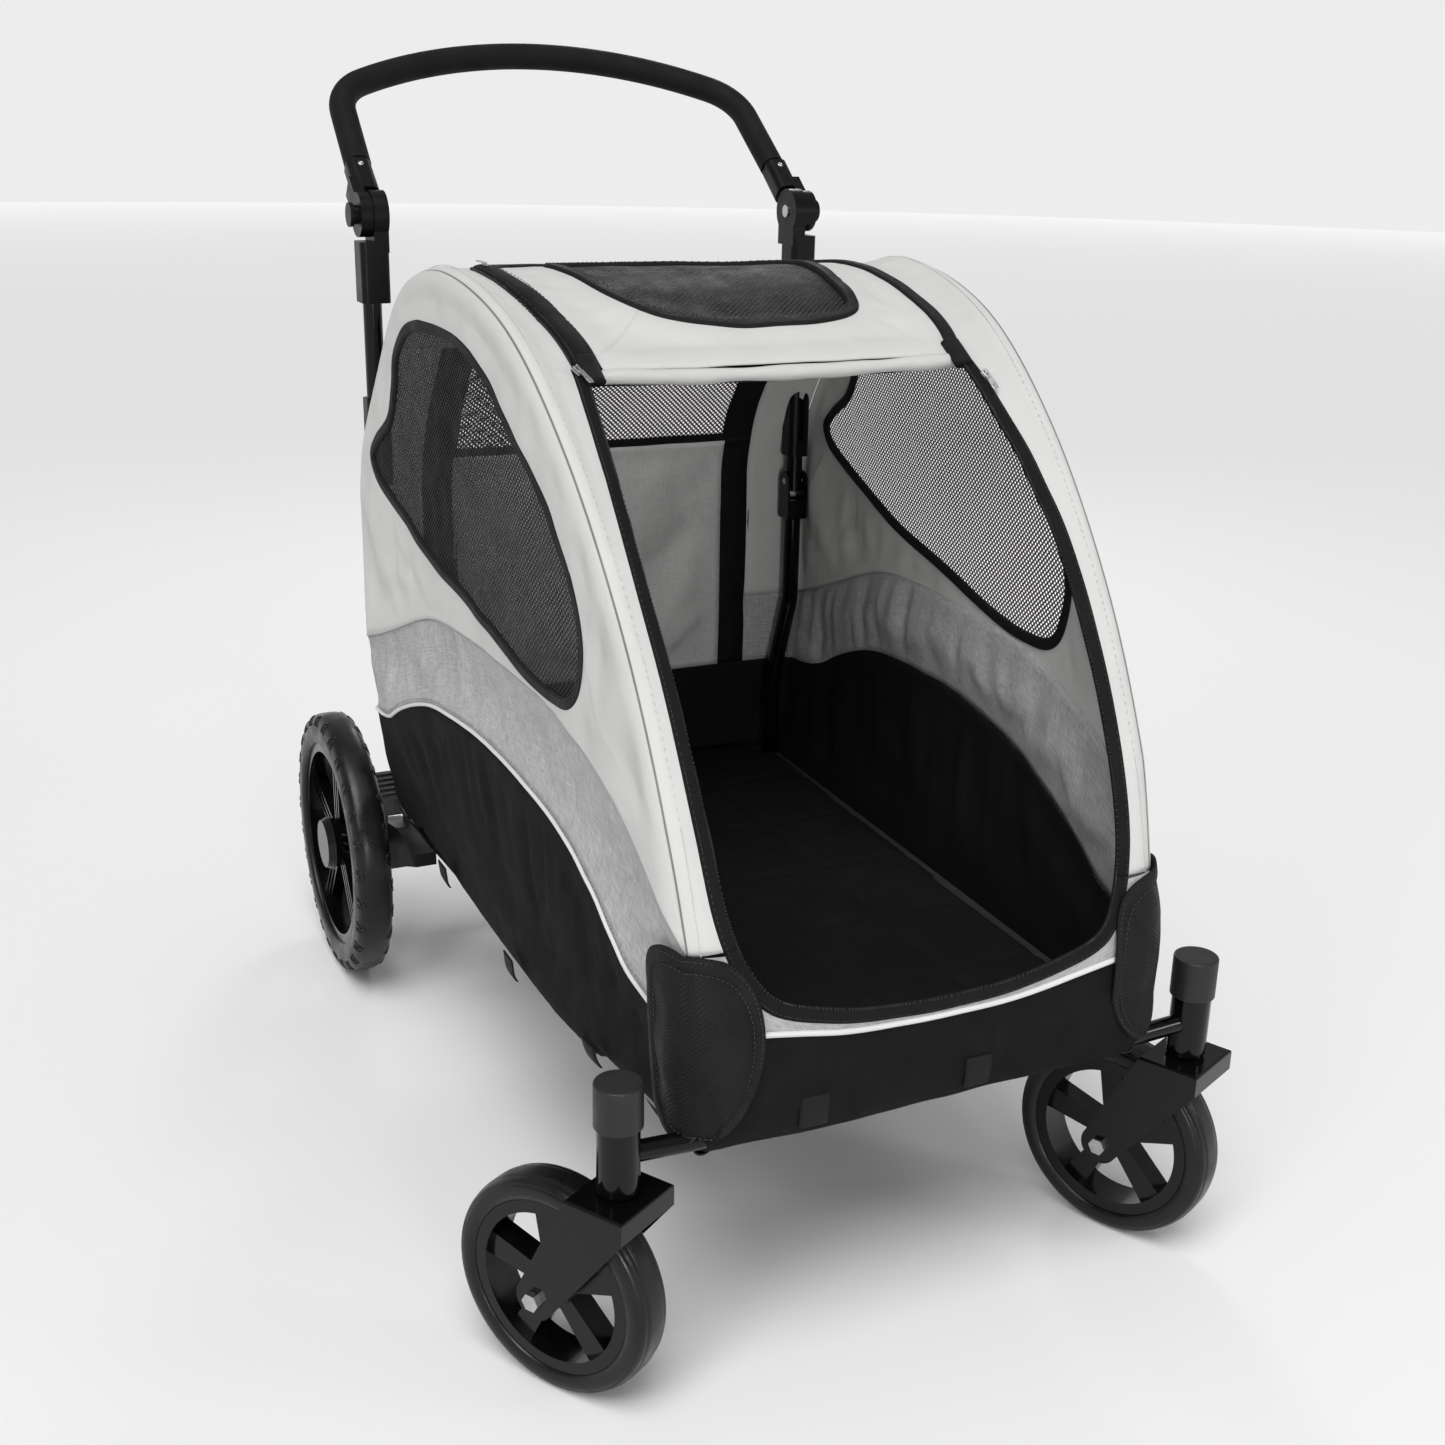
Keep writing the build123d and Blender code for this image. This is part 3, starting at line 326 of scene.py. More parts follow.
def heading(line, closed=False):
    """Unit direction of a line at each of its points."""
    return unit(np.roll(line, -1, 0) - np.roll(line, 1, 0) if closed else np.gradient(line, axis=0))


def offset_line(line, by, closed=False):
    """A flat line moved square to itself, to its right-hand side."""
    ahead = heading(line, closed)
    return line + by * pair(ahead[:, 1], -ahead[:, 0])


def coons(low, high, left, right):
    """Grid inside four edges: low and high run the same way, left and right run from low to high."""
    u = np.linspace(0, 1, len(low))[None, :, None]
    v = np.linspace(0, 1, len(left))[:, None, None]
    corners = (1 - u) * (1 - v) * low[0] + u * (1 - v) * low[-1] + (1 - u) * v * high[0] + u * v * high[-1]
    return (1 - v) * low[None] + v * high[None] + (1 - u) * left[:, None] + u * right[:, None] - corners


def ruled(a, b, rows):
    t = np.linspace(0, 1, rows)[:, None, None]
    return (1 - t) * a[None] + t * b[None]


def new_object(name, vertices, faces, finish, uvs=None, smooth=True):
    mesh = bpy.data.meshes.new(name)
    mesh.from_pydata([tuple(v) for v in vertices], [], [tuple(f) for f in faces])
    if uvs is not None:
        layer = mesh.uv_layers.new(name="cloth")
        loops = np.zeros(len(mesh.loops), np.int32)
        mesh.loops.foreach_get("vertex_index", loops)
        layer.data.foreach_set("uv", np.asarray(uvs, np.float32)[loops].ravel())
    if smooth:
        mesh.polygons.foreach_set("use_smooth", [True] * len(mesh.polygons))
    mesh.materials.append(finish)
    made = bpy.data.objects.new(name, mesh)
    scene.collection.objects.link(made)
    return made


def from_bmesh(name, work, finish):
    """An object made from a bmesh, which is freed."""
    mesh = bpy.data.meshes.new(name)
    work.to_mesh(mesh)
    work.free()
    mesh.materials.append(finish)
    made = bpy.data.objects.new(name, mesh)
    scene.collection.objects.link(made)
    return made


def grid_faces(rows, columns, start=0, wrap=False, closed=False):
    """Quads of a grid; wrap joins its last column to its first, and closed joins its last row to its first."""
    faces = []
    for r in range(rows if closed else rows - 1):
        here, after = start + r * columns, start + (r + 1) % rows * columns
        for c in range(columns if wrap else columns - 1):
            n = (c + 1) % columns
            faces.append((here + c, here + n, after + n, after + c))
    return faces


def tube_faces(rows, columns, start=0, closed=False):
    """Faces of a tube made of rings, with both ends capped unless it is closed."""
    faces = grid_faces(rows, columns, start, wrap=True, closed=closed)
    if not closed:
        last = start + (rows - 1) * columns
        faces += [tuple(range(start, start + columns))[::-1], tuple(range(last, last + columns))]
    return faces


def cloth_uv(grid, origin):
    """Flat cloth coordinates of a grid, in metres, from its mean run along each way."""
    across = np.concatenate([[0], np.cumsum(np.linalg.norm(np.diff(grid, axis=1), axis=2).mean(0))])
    along = np.concatenate([[0], np.cumsum(np.linalg.norm(np.diff(grid, axis=0), axis=2).mean(1))])
    return pair(across[None, :] + origin[0], along[:, None] + origin[1])


def grids_object(name, grids, finish, wrap=False, weld=0.0004):
    """One smooth object from several grids of points, welded where their edges meet."""
    vertices, faces, uvs = [], [], []
    for number, grid in enumerate(grids):
        faces += grid_faces(grid.shape[0], grid.shape[1], len(vertices), wrap)
        uvs += list(cloth_uv(grid, (number * 0.37, number * 0.21)).reshape(-1, 2))
        vertices += list(grid.reshape(-1, 3))
    made = new_object(name, vertices, faces, finish, uvs)
    work = bmesh.new()
    work.from_mesh(made.data)
    bmesh.ops.remove_doubles(work, verts=work.verts, dist=weld)
    bmesh.ops.recalc_face_normals(work, faces=work.faces)
    work.to_mesh(made.data)
    work.free()
    return made


def apply_modifiers(piece):
    """Bake the piece's modifiers into its mesh."""
    evaluated = piece.evaluated_get(bpy.context.evaluated_depsgraph_get())
    mesh = bpy.data.meshes.new_from_object(evaluated)
    piece.modifiers.clear()
    piece.data = mesh
    return piece


def thicken(piece, thickness):
    shell = piece.modifiers.new("shell", "SOLIDIFY")
    shell.thickness = thickness
    shell.offset = 0.0
    return apply_modifiers(piece)


def points_of(piece):
    return np.array([v.co for v in piece.data.vertices])


def move_points(piece, points):
    piece.data.vertices.foreach_set("co", points.astype(np.float32).ravel())
    piece.data.update()


def held_near(rest, shift, limit):
    """Points moved from rest by their shifts, but no further than the limit."""
    far = np.linalg.norm(shift, axis=1)
    return rest + shift * (np.minimum(far, limit) / np.maximum(far, 1e-9))[:, None]


def play_cloth(piece, frames):
    """Run the piece's cloth simulation and keep its last frame."""
    for number in range(1, frames + 1):
        scene.frame_set(number)
    apply_modifiers(piece)
    scene.frame_set(1)


def frames_along(path, normals, closed=False):
    """Unit side directions and normals along a line."""
    along = heading(path, closed)
    normals = unit(normals - (normals * along).sum(1)[:, None] * along)
    return np.cross(along, normals), normals


def strip(name, path, normals, section, finish, closed=False):
    """A section of (side, out) points carried along a line; the section is a closed loop."""
    side, out = frames_along(path, normals, closed)
    section = np.array(section, float)
    grid = path[:, None] + section[None, :, :1] * side[:, None] + section[None, :, 1:] * out[:, None]
    faces = tube_faces(len(path), len(section), closed=closed)
    uvs = pair(running(path)[:, None], running(section)[None, :])
    return new_object(name, grid.reshape(-1, 3), faces, finish, uvs.reshape(-1, 2))


def tape_section(width, thickness, crown=0.0):
    """Flat tape with soft edges, crowned in the middle."""
    half = width / 2
    top = [(x * half, thickness * (0.55 + 0.45 * (1 - x ** 4)) + crown * (1 - x * x))
           for x in np.linspace(-1, 1, 7)]
    return top + [(half * 0.98, 0), (-half * 0.98, 0)]


def round_section(radius, count=10):
    return [(radius * cos(2 * pi * k / count), radius * sin(2 * pi * k / count)) for k in range(count)]


def wrapped_tape(width, thickness):
    """Bias binding folded over a cloth edge: it stands out on both faces."""
    top = [(x * width / 2, thickness * (1 - 0.75 * abs(x) ** 5)) for x in np.linspace(-1, 1, 9)]
    return top + [(x, -z) for x, z in top[::-1]]


# Share of a stitch's length, of its radius and of its lift, at each of its rings
STITCH_RINGS = ((-0.5, 0.45, -0.6), (-0.25, 1.0, 0.3), (0.25, 1.0, 0.3), (0.5, 0.45, -0.6))
STITCH_SIDES = 5


def stitches(name, path, normals, finish, pitch=0.0045, length=0.003, radius=0.00042, closed=False):
    """A row of thread stitches along a line."""
    total = length_of(np.vstack([path, path[:1]]) if closed else path)
    count = max(2, int(total / pitch))
    fine = even(np.hstack([path, normals]), count * 2 + 1)
    vertices, faces = [], []
    for k in range(count):
        middle, ahead = fine[2 * k, :3], fine[2 * k + 1, :3]
        out = Vector(fine[2 * k, 3:]).normalized()
        along = Vector(ahead - middle).normalized()
        side = along.cross(out)
        faces += tube_faces(len(STITCH_RINGS), STITCH_SIDES, len(vertices))
        for share, swell, lift in STITCH_RINGS:
            centre = Vector(middle) + along * (length * share) + out * (radius * lift)
            for turn in range(STITCH_SIDES):
                angle = 2 * pi * turn / STITCH_SIDES
                vertices.append(centre + (side * cos(angle) + out * sin(angle)) * radius * swell)
    return new_object(name, vertices, faces, finish)


# ---------------------------------------------------------------- the cabin's surface

def mm(*places):
    """Places given in millimetres, in metres."""
    return [tuple(v / 1000 for v in place) for place in places]


# Side outline of the cabin (Y, Z): up the nose, over the roof, down the tail and back along the bottom
OUTLINE = mm((-514, 238), (-519, 295), (-521, 345), (-503, 405), (-466, 503), (-388, 637), (-272, 767), (-144, 854),
             (0, 888), (85, 880), (148, 851), (228, 757), (279, 685), (297, 630), (300, 560), (300, 420), (300, 300),
             (296, 256), (272, 236), (100, 219), (-30, 212), (-150, 210), (-270, 213), (-370, 217), (-470, 222),
             (-500, 226))
SAMPLES = 900
PROFILE = smooth_line(OUTLINE, SAMPLES, closed=True)
STEP = length_of(PROFILE) / (SAMPLES - 1)
_ahead = heading(PROFILE, closed=True)
INWARD = pair(_ahead[:, 1], -_ahead[:, 0])
FRONT = [k for k in range(SAMPLES) if PROFILE[k, 0] < -0.05 and PROFILE[k, 1] > 0.25]


def wall_half(y, z):
    """Half width of the cabin."""
    return np.minimum(0.233 + 0.042 * (np.asarray(y) + 0.5) / 0.75,
                      np.interp(z, [0.2, 0.25, 0.322, 0.42], [0.246, 0.252, 0.262, 0.277]))


def nearest(y, z):
    """Index of the outline sample nearest to each point."""
    flat = pair(np.ravel(y), np.ravel(z))
    found = np.zeros(len(flat), int)
    for start in range(0, len(flat), 20000):
        part = flat[start:start + 20000]
        found[start:start + 20000] = ((part[:, None] - PROFILE[None]) ** 2).sum(2).argmin(1)
    return found.reshape(np.shape(y))


def run_at(y, z):
    """Distance along the outline of the place nearest to a point."""
    return float(nearest(np.array([y]), np.array([z]))[0]) * STEP


def outline_at(s):
    k = np.asarray(s, float) / STEP % SAMPLES
    low = np.floor(k).astype(int)
    t = (k - low)[..., None]
    high = (low + 1) % SAMPLES
    place = PROFILE[low] * (1 - t) + PROFILE[high] * t
    inward = INWARD[low] * (1 - t) + INWARD[high] * t
    return place, inward


def corner_radius(y, z):
    """Radius of the soft corner between the side walls and the front, roof, tail and bottom."""
    nose = np.clip((0.5 - z) / 0.1, 0, 1) * (np.asarray(y) < -0.3)
    return 0.019 + 0.013 * nose


LATTICE = np.random.default_rng(4).standard_normal((40, 40, 40))


def lumps(points, size, shift=0.0):
    """Smooth noise about zero at points (n, 3), with lumps of about that size."""
    p = points / size + 7.3 + shift
    low = np.floor(p).astype(int)
    t = p - low
    t = t * t * (3 - 2 * t)
    total = 0
    for dx in (0, 1):
        for dy in (0, 1):
            for dz in (0, 1):
                weight = (t[..., 0] if dx else 1 - t[..., 0]) * (t[..., 1] if dy else 1 - t[..., 1]) \
                    * (t[..., 2] if dz else 1 - t[..., 2])
                cell = tuple((low[..., k] + step) % 40 for k, step in enumerate((dx, dy, dz)))
                total = total + weight * LATTICE[cell]
    return total


def slack(points):
    """How far the tensioned cloth stands off its ideal surface."""
    return 0.0011 * lumps(points, 0.09) + 0.0006 * lumps(points, 0.035, 3.0)


def sag(foot, d):
    """How far the front and the roof hang in from the side seams, where cloth spans between them."""
    y, z = foot[..., 0], foot[..., 1]
    front = np.interp(z, [0.36, 0.43, 0.5, 0.6, 0.67, 0.76], [0, 0.004, 0.007, 0.011, 0.014, 0.018])
    roof = np.interp(y, [-0.25, -0.11, -0.05, 0.02, 0.1, 0.27], [0.018, 0.017, 0.011, 0.006, 0.004, 0.0])
    depth = np.where(y < -0.25, front, np.where(z > 0.6, roof, 0))
    t = np.clip(d / 0.055, 0, 1)
    return depth * t * t * (3 - 2 * t)


def soften(x, y, z, d, e, foot, inward):
    """Round the corner where side distance d and outline distance e are both small."""
    radius = corner_radius(foot[..., 0], foot[..., 1])
    du, eu = radius - d, radius - e
    inside = (du > 0) & (eu > 0)
    scale = np.where(inside, np.maximum(du, eu) / np.maximum(np.hypot(du, eu), 1e-9), 1.0)
    new_d, new_e = np.where(inside, radius - du * scale, d), np.where(inside, radius - eu * scale, e)
    x = x - np.sign(x) * (new_d - d)
    y = y + inward[..., 0] * (new_e - e)
    z = z + inward[..., 1] * (new_e - e)
    return pair(x, y, z)


def on_side(yz, out, lift=0.0):
    """Points on a side wall, from (y, z)."""
    y, z = yz[..., 0], yz[..., 1]
    index = nearest(y, z)
    foot, inward = PROFILE[index], INWARD[index]
    e = (y - foot[..., 0]) * inward[..., 0] + (z - foot[..., 1]) * inward[..., 1]
    e = np.maximum(e, 0.0)
    half = wall_half(y, z)
    calm = np.clip(e / 0.05, 0, 1) ** 2
    lift = lift + calm * slack(np.stack([out * half, y, z], -1))
    return soften(out * (half + lift), y, z, -lift + 0 * half, e, foot, inward)


def on_top(xs, lift=0.0):
    """Points on the front, roof, tail or bottom, from (x, run along the outline)."""
    x, s = xs[..., 0], xs[..., 1]
    foot, inward = outline_at(s)
    half = wall_half(foot[..., 0], foot[..., 1])
    x = np.clip(x, -half, half)
    d = half - np.abs(x)
    calm = np.clip(d / 0.05, 0, 1) ** 2
    flat = np.concatenate([x[..., None], foot], -1)
    lift = lift + calm * slack(flat) - sag(foot, d)
    y = foot[..., 0] - inward[..., 0] * lift
    z = foot[..., 1] - inward[..., 1] * lift
    return soften(np.where(x == 0, 1e-9, x), y, z, d, -lift + 0 * d, foot, inward)


def side_normals(yz, out):
    a, b, c = on_side(yz, out), on_side(yz + [0.002, 0], out), on_side(yz + [0, 0.002], out)
    return unit(np.cross(b - a, c - a) * out)


def top_normals(xs):
    a, b, c = on_top(xs - [0.001, 0]), on_top(xs + [0.001, 0]), on_top(xs + [0, 0.002])
    return unit(np.cross(b - a, c - a))


def laid(flat, out, lift=0.0):
    """Points and normals of a line: on a side wall where out is -1 or 1, on the front, roof or tail at 0."""
    if out:
        return on_side(flat, out, lift), side_normals(flat, out)
    return on_top(flat, lift), top_normals(flat)


def edge_x(out, s):
    """Side corner of the front, roof or tail at each run s, as (x, s)."""
    place, _ = outline_at(s)
    return pair(out * wall_half(place[:, 0], place[:, 1]), s)


# Runs of the places that the seams start and end at
S_SILL = run_at(-0.5205, 0.343)
S_BAND = run_at(-0.503, 0.405)
S_DOOR_TOP = run_at(-0.176, 0.812)
S_TAIL_TOP = run_at(0.205, 0.788)
S_TAIL_BAND = run_at(0.3, 0.452)
S_TAIL_PIPING = run_at(0.3, 0.368)
S_BACK = run_at(0.296, 0.256)
S_NET_LOW = run_at(0.299, 0.655)

SIDE_PIPING = smooth_line(mm((-520.8, 343), (-460, 343), (-405, 353), (-373, 372), (-328, 399), (-264, 426),
                             (-171, 444), (-68, 449), (41, 443), (84, 436), (130, 422), (175, 403), (216, 382),
                             (249, 373), (300, 368)), 110)
BAND_TOP = smooth_line(mm((-503, 405), (-427, 467), (-350, 509), (-244, 538), (-126, 543), (-20, 543), (68, 534),
                          (181, 493), (235, 473), (300, 452)), 110)
WINDOW = mm((50, 830), (-45, 825), (-100, 804), (-158, 768), (-213, 735), (-258, 701), (-294, 660), (-314, 613),
            (-307, 570), (-290, 553), (-253, 548), (-190, 552), (-84, 574), (32, 595), (117, 620), (170, 636),
            (222, 658), (232, 674), (212, 693), (172, 721), (156, 754), (148, 787), (116, 816), (76, 828))
# Right half of the doorway's edge (X, Y, Z), from the roof down to the middle of the sill
DOOR_HALF = mm((190, -176, 812), (197, -249, 756), (202, -339, 674), (200, -403, 595), (196, -461, 495),
               (190, -490, 428), (179, -505, 393), (158, -519, 365), (110, -521, 347), (60, -521, 338),
               (0, -521, 335))
SILL = mm((0, 320), (41, 320.5), (89, 324), (135, 332), (174, 338), (232, 343))
SKYLIGHT = mm((-138, 46), (-50, 52), (50, 52), (106, 47), (124, 22), (126, -50), (119, -102), (100, -119),
              (40, -129), (-30, -126), (-80, -107), (-113, -70), (-131, -10))
ROOF_PANEL = {"right": mm((190, -188), (196, -150), (196, -93), (184, -20), (160, 45)),
              "rear": mm((160, 45), (100, 75), (0, 84), (-100, 80), (-185, 55), (-216, 18)),
              "left": mm((-216, 18), (-204, -49), (-190, -120), (-184, -188))}
REAR_DOOR_X, REAR_ZIP_X = 0.165, 0.207


def front_run(z):
    """Run of a height on the nose."""
    return np.interp(z, PROFILE[FRONT][:, 1], np.array(FRONT) * STEP)


def roof_run(y):
    """Run of a place on the roof, from its y."""
    top = [k for k in range(SAMPLES) if PROFILE[k, 1] > 0.7]
    return np.interp(y, PROFILE[top, 0], np.array(top) * STEP)


def on_roof(points, count, closed=False):
    """Smooth line over the roof from (x, y) points, as (x, run)."""
    line = smooth_line(points, count, closed)
    return pair(line[:, 0], roof_run(line[:, 1]))


def door_edge(count=240):
    """Doorway edge as (x, run), from the top right round the sill to the top left."""
    right = [(x, run_at(y, z)) for x, y, z in DOOR_HALF]
    left = [(-x, s) for x, s in right[-2::-1]]
    return smooth_line(right + left, count)


# Share of the cloth's height above its foot, for the fold; nothing here folds the cloth, and ride_cabin reads only
# whether the share is under one
FOLD_FOOT, FOLD_KEEP = 0.405, 0.36
REAR_FOOT, REAR_CLOTH_KEEP, REAR_ZIP_KEEP = 0.368, 0.447, 0.416
CLOTH_THICKNESS = 0.0014


def ride_fixed(piece, *nodes, slot, body="chassis"):
    """The piece stands for its CAD nodes and rides on the body."""
    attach(piece, body)
    if nodes:
        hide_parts(*nodes)
    return piece


def ride_cabin(piece, *nodes, slot, keep=FOLD_KEEP, foot=FOLD_FOOT):
    """The piece rides on the chassis, and gets a mesh of its own when keep is under one; foot is not used."""
    ride_fixed(piece, *nodes, slot=slot)
    if keep < 1.0:
        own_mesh(piece)
    return piece


def sew_strip(name, flat, section, finish, slot, *nodes, out=0, lift=0.0, closed=False, **fold):
    """A tape, cord or binding along a line on the cabin."""
    made = strip(name, *laid(flat, out, lift), section, finish, closed)
    return ride_cabin(made, *nodes, slot=slot, **fold)


def sew_thread(name, flat, finish, slot, *size, out=0, lift=0.0, closed=False, **fold):
    """A row of stitches or zip teeth along a line on the cabin; size is pitch, length and radius."""
    made = stitches(name, *laid(flat, out, lift), finish, *size, closed=closed)
    return ride_cabin(made, slot=slot, **fold)


SEAM_FADE, SETTLE_LIMIT = 0.04, 0.01
CLOTH_SETTINGS = {"vertex_group_mass": "sewn", "quality": 5, "mass": 0.15, "tension_stiffness": 20,
                  "compression_stiffness": 20}


def settle(piece, grow, frames, softness=1.0):
    """Let loose cloth relax between its sewn edges, with a little more cloth than the gap needs."""
    rest = points_of(piece)
    work = bmesh.new()
    work.from_mesh(piece.data)
    edge = {v.index for v in work.verts if v.is_boundary}
    seams = KDTree(len(edge))
    for index in edge:
        seams.insert(rest[index], index)
    seams.balance()
    fade = np.array([min(1.0, seams.find(place)[2] / SEAM_FADE) ** 1.5 for place in rest])
    near = {n.index for v in work.verts if v.index in edge for e in v.link_edges for n in e.verts}
    work.free()
    group = piece.vertex_groups.new(name="sewn")
    group.add(sorted(edge | near), 1.0, "REPLACE")
    cloth = piece.modifiers.new("Cloth", "CLOTH")
    for setting, value in CLOTH_SETTINGS.items():
        setattr(cloth.settings, setting, value)
    cloth.settings.shrink_min = -grow
    cloth.settings.bending_stiffness = 0.4 * softness
    cloth.settings.effector_weights.gravity = 0.3
    cloth.collision_settings.use_collision = False
    cloth.point_cache.frame_end = frames
    play_cloth(piece, frames)
    move_points(piece, held_near(rest, (points_of(piece) - rest) * fade[:, None], SETTLE_LIMIT))


# ---------------------------------------------------------------- the cabin's panels

def panel(name, grids, finish, slot, long, *nodes, loose=None, thickness=CLOTH_THICKNESS, wrap=False,
          weld=0.0004, **fold):
    """A cloth panel; loose is its spare cloth, simulated frames and softness."""
    piece = grids_object(name, grids, finish, wrap, weld)
    if loose:
        settle(piece, *loose)
    ride_cabin(thicken(piece, thickness), *nodes, slot=slot, **fold)


def loop_parts(line, anchors, counts):
    """A closed line cut at the points nearest to its anchors, each part evenly spaced."""
    at = [int(((line - np.array(anchor)) ** 2).sum(1).argmin()) for anchor in anchors]
    parts = []
    for here, after, count in zip(at, at[1:] + at[:1], counts):
        after = after if after > here else after + len(line)
        parts.append(even(line[np.arange(here, after + 1) % len(line)], count + 1)[:-1])
    return np.vstack(parts)


def outline_part(start, end, count):
    return outline_at(np.linspace(start, end, count))[0]


# Places on the side panel's outer edge and on the window that face each other, and the number of cloth cells
# from each pair to the next
SIDE_ANCHORS = [((-0.503, 0.405), (-0.313, 0.6), 82), ((-0.02, 0.888), (0.02, 0.831), 46),
                ((0.297, 0.625), (0.222, 0.688), 16), ((0.3, 0.452), (0.225, 0.661), 28),
                ((0.1, 0.525), (0.1, 0.617), 28), ((-0.1, 0.545), (-0.1, 0.57), 28),
                ((-0.3, 0.526), (-0.285, 0.551), 24)]
ROOF_CORNERS = [(-0.098, -0.095), (0.112, -0.112), (0.117, 0.036), (-0.138, 0.046)]


def make_side_panels():
    outer_places, inner_places, counts = zip(*SIDE_ANCHORS)
    outer = np.vstack([outline_part(S_BAND, S_TAIL_BAND, 600)[:-1], BAND_TOP[::-1][:-1]])
    inner = smooth_line(WINDOW[::-1], 500, closed=True)
    flat = ruled(loop_parts(outer, outer_places, counts), loop_parts(inner, inner_places, counts), 18)
    for side, out in SIDES.items():
        panel(f"side_panel_{side}", [on_side(flat, out, 0.001)], LIGHT_CLOTH, "light_fabric", 1.9,
              loose=(0.012, 14), wrap=True)


def make_canopy():
    """Pillars, roof edges and tail: the light cloth between the side seams, round the door and the flap."""
    door = offset_line(door_edge(), -0.005)
    grids, last = [], {}
    for side, out in SIDES.items():
        flap = on_roof(ROOF_PANEL[side][::out], 60)
        post = door[(door[:, 0] * out > 0) & (door[:, 1] >= S_BAND)][::-out]
        post = post[post[:, 1] < flap[0, 1] - 0.004]
        inner = even(np.vstack([[[post[0, 0], S_BAND]], post, flap]), 150)
        flat = ruled(inner, edge_x(out, inner[:, 1]), 12)
        grids.append(on_top(flat))
        last[side] = flat[:, -1]
    front = np.vstack([last["left"][::-1][:-1], on_roof(ROOF_PANEL["rear"][::-1], 60), last["right"][1:]])
    reach = edge_x(1, np.array([S_TAIL_TOP]))[0, 0]
    share = (front[:, 0] - front[0, 0]) / (front[-1, 0] - front[0, 0])
    grids.append(on_top(ruled(front, pair(-reach + 2 * reach * share, S_TAIL_TOP), 24)))
    s = np.linspace(S_TAIL_TOP, S_TAIL_BAND, 40)
    grids += [tail_strip(out, s) for out in SIDES.values()]
    panel("canopy", grids, LIGHT_CLOTH, "light_fabric", 1.5, "canopy_shell", loose=(0.008, 10))


def tail_strip(out, s):
    """The tail's cloth between its zip and the side corner."""
    return on_top(ruled(pair(out * (REAR_ZIP_X - 0.003), s), edge_x(out, s), 8))


def make_roof_flap():
    front = np.linspace(ROOF_PANEL["left"][-1], ROOF_PANEL["right"][0], 80)
    edges = [pair(front[:, 0], roof_run(front[:, 1]))]
    edges += [on_roof(ROOF_PANEL[part], 80) for part in ("right", "rear", "left")]
    loop = np.vstack([edge[:-1] for edge in edges])
    counts = (70, 42, 62, 42)
    outer = loop_parts(loop, loop[[0, 79, 158, 237]], counts)
    corners = [(x, float(roof_run(y))) for x, y in ROOF_CORNERS]
    inner = loop_parts(on_roof(SKYLIGHT[::-1], 400, closed=True), corners, counts)
    panel("roof_flap", [on_top(ruled(outer, inner, 14))], LIGHT_CLOTH, "light_fabric", 1.0, "roof_panel",
          loose=(0.01, 12), wrap=True)


def make_bands():
    grid = coons(SIDE_PIPING, BAND_TOP, outline_part(S_SILL, S_BAND, 14),
                 outline_part(S_TAIL_PIPING, S_TAIL_BAND, 14))
    across = np.linspace(0, 1, grid.shape[0])[:, None]
    y, z = grid[..., 0], grid[..., 1]
    gathered = np.clip((y + 0.16) / 0.22, 0, 1) * np.clip((0.298 - y) / 0.03, 0, 1)
    for side, out in SIDES.items():
        crease = 0.005 * gathered * lumps(pair(y * 4.2 + across * 0.03, z * 0.35, out), 0.05)
        folds = np.clip(np.sin(pi * across), 0, 1) ** 0.6 * (crease - 0.0045)
        back = tail_strip(out, np.linspace(S_TAIL_PIPING, S_TAIL_BAND, 14))
        panel(f"grey_band_{side}", [on_side(grid, out, folds), back], GREY_CLOTH, "grey_fabric", 0.95,
              f"side_band_{side}", loose=(0.02, 16, 0.5), keep=1.0)
    door = offset_line(door_edge(), -0.005)
    reach = edge_x(1, np.array([S_BAND]))[0, 0]
    top = even(np.vstack([[-reach, S_BAND], door[door[:, 1] <= S_BAND][::-1], [reach, S_BAND]]), 130)
    low = even(sill_line(130), 130)
    panel("front_band", [on_top(ruled(low, top, 9))], GREY_CLOTH, "grey_fabric", 0.48, keep=1.0)


def sill_line(count):
    """Lower edge of the front band, from left to right, as (x, run)."""
    half = smooth_line(SILL, count // 2 + 1)
    both = np.vstack([(half * [-1, 1])[:0:-1], half])
    return pair(both[:, 0], front_run(both[:, 1]))


def make_tub():
    total = SAMPLES * STEP
    tall, long = 22, len(SIDE_PIPING)
    side = coons(outline_part(total, S_BACK, long), SIDE_PIPING, outline_part(0.0, S_SILL, tall),
                 outline_part(S_BACK, S_TAIL_PIPING, tall))
    top = sill_line(60)
    half = edge_x(1, np.array([0.0]))[0, 0]
    low = pair(np.linspace(-half, half, len(top)), 0.0)
    grids = [on_side(side, -1), on_side(side, 1), on_top(ruled(low, top, tall))]
    for s, columns in ((np.linspace(S_BACK, S_TAIL_PIPING, tall), 50), (np.linspace(total, S_BACK, long), 40)):
        grids.append(on_top(ruled(edge_x(-1, s), edge_x(1, s), columns)))
    panel("black_tub", grids, BLACK_CLOTH, "black_fabric", 2.4, "tub", loose=(0.015, 12, 0.6), thickness=0.0016,
          weld=0.0009, keep=1.0)


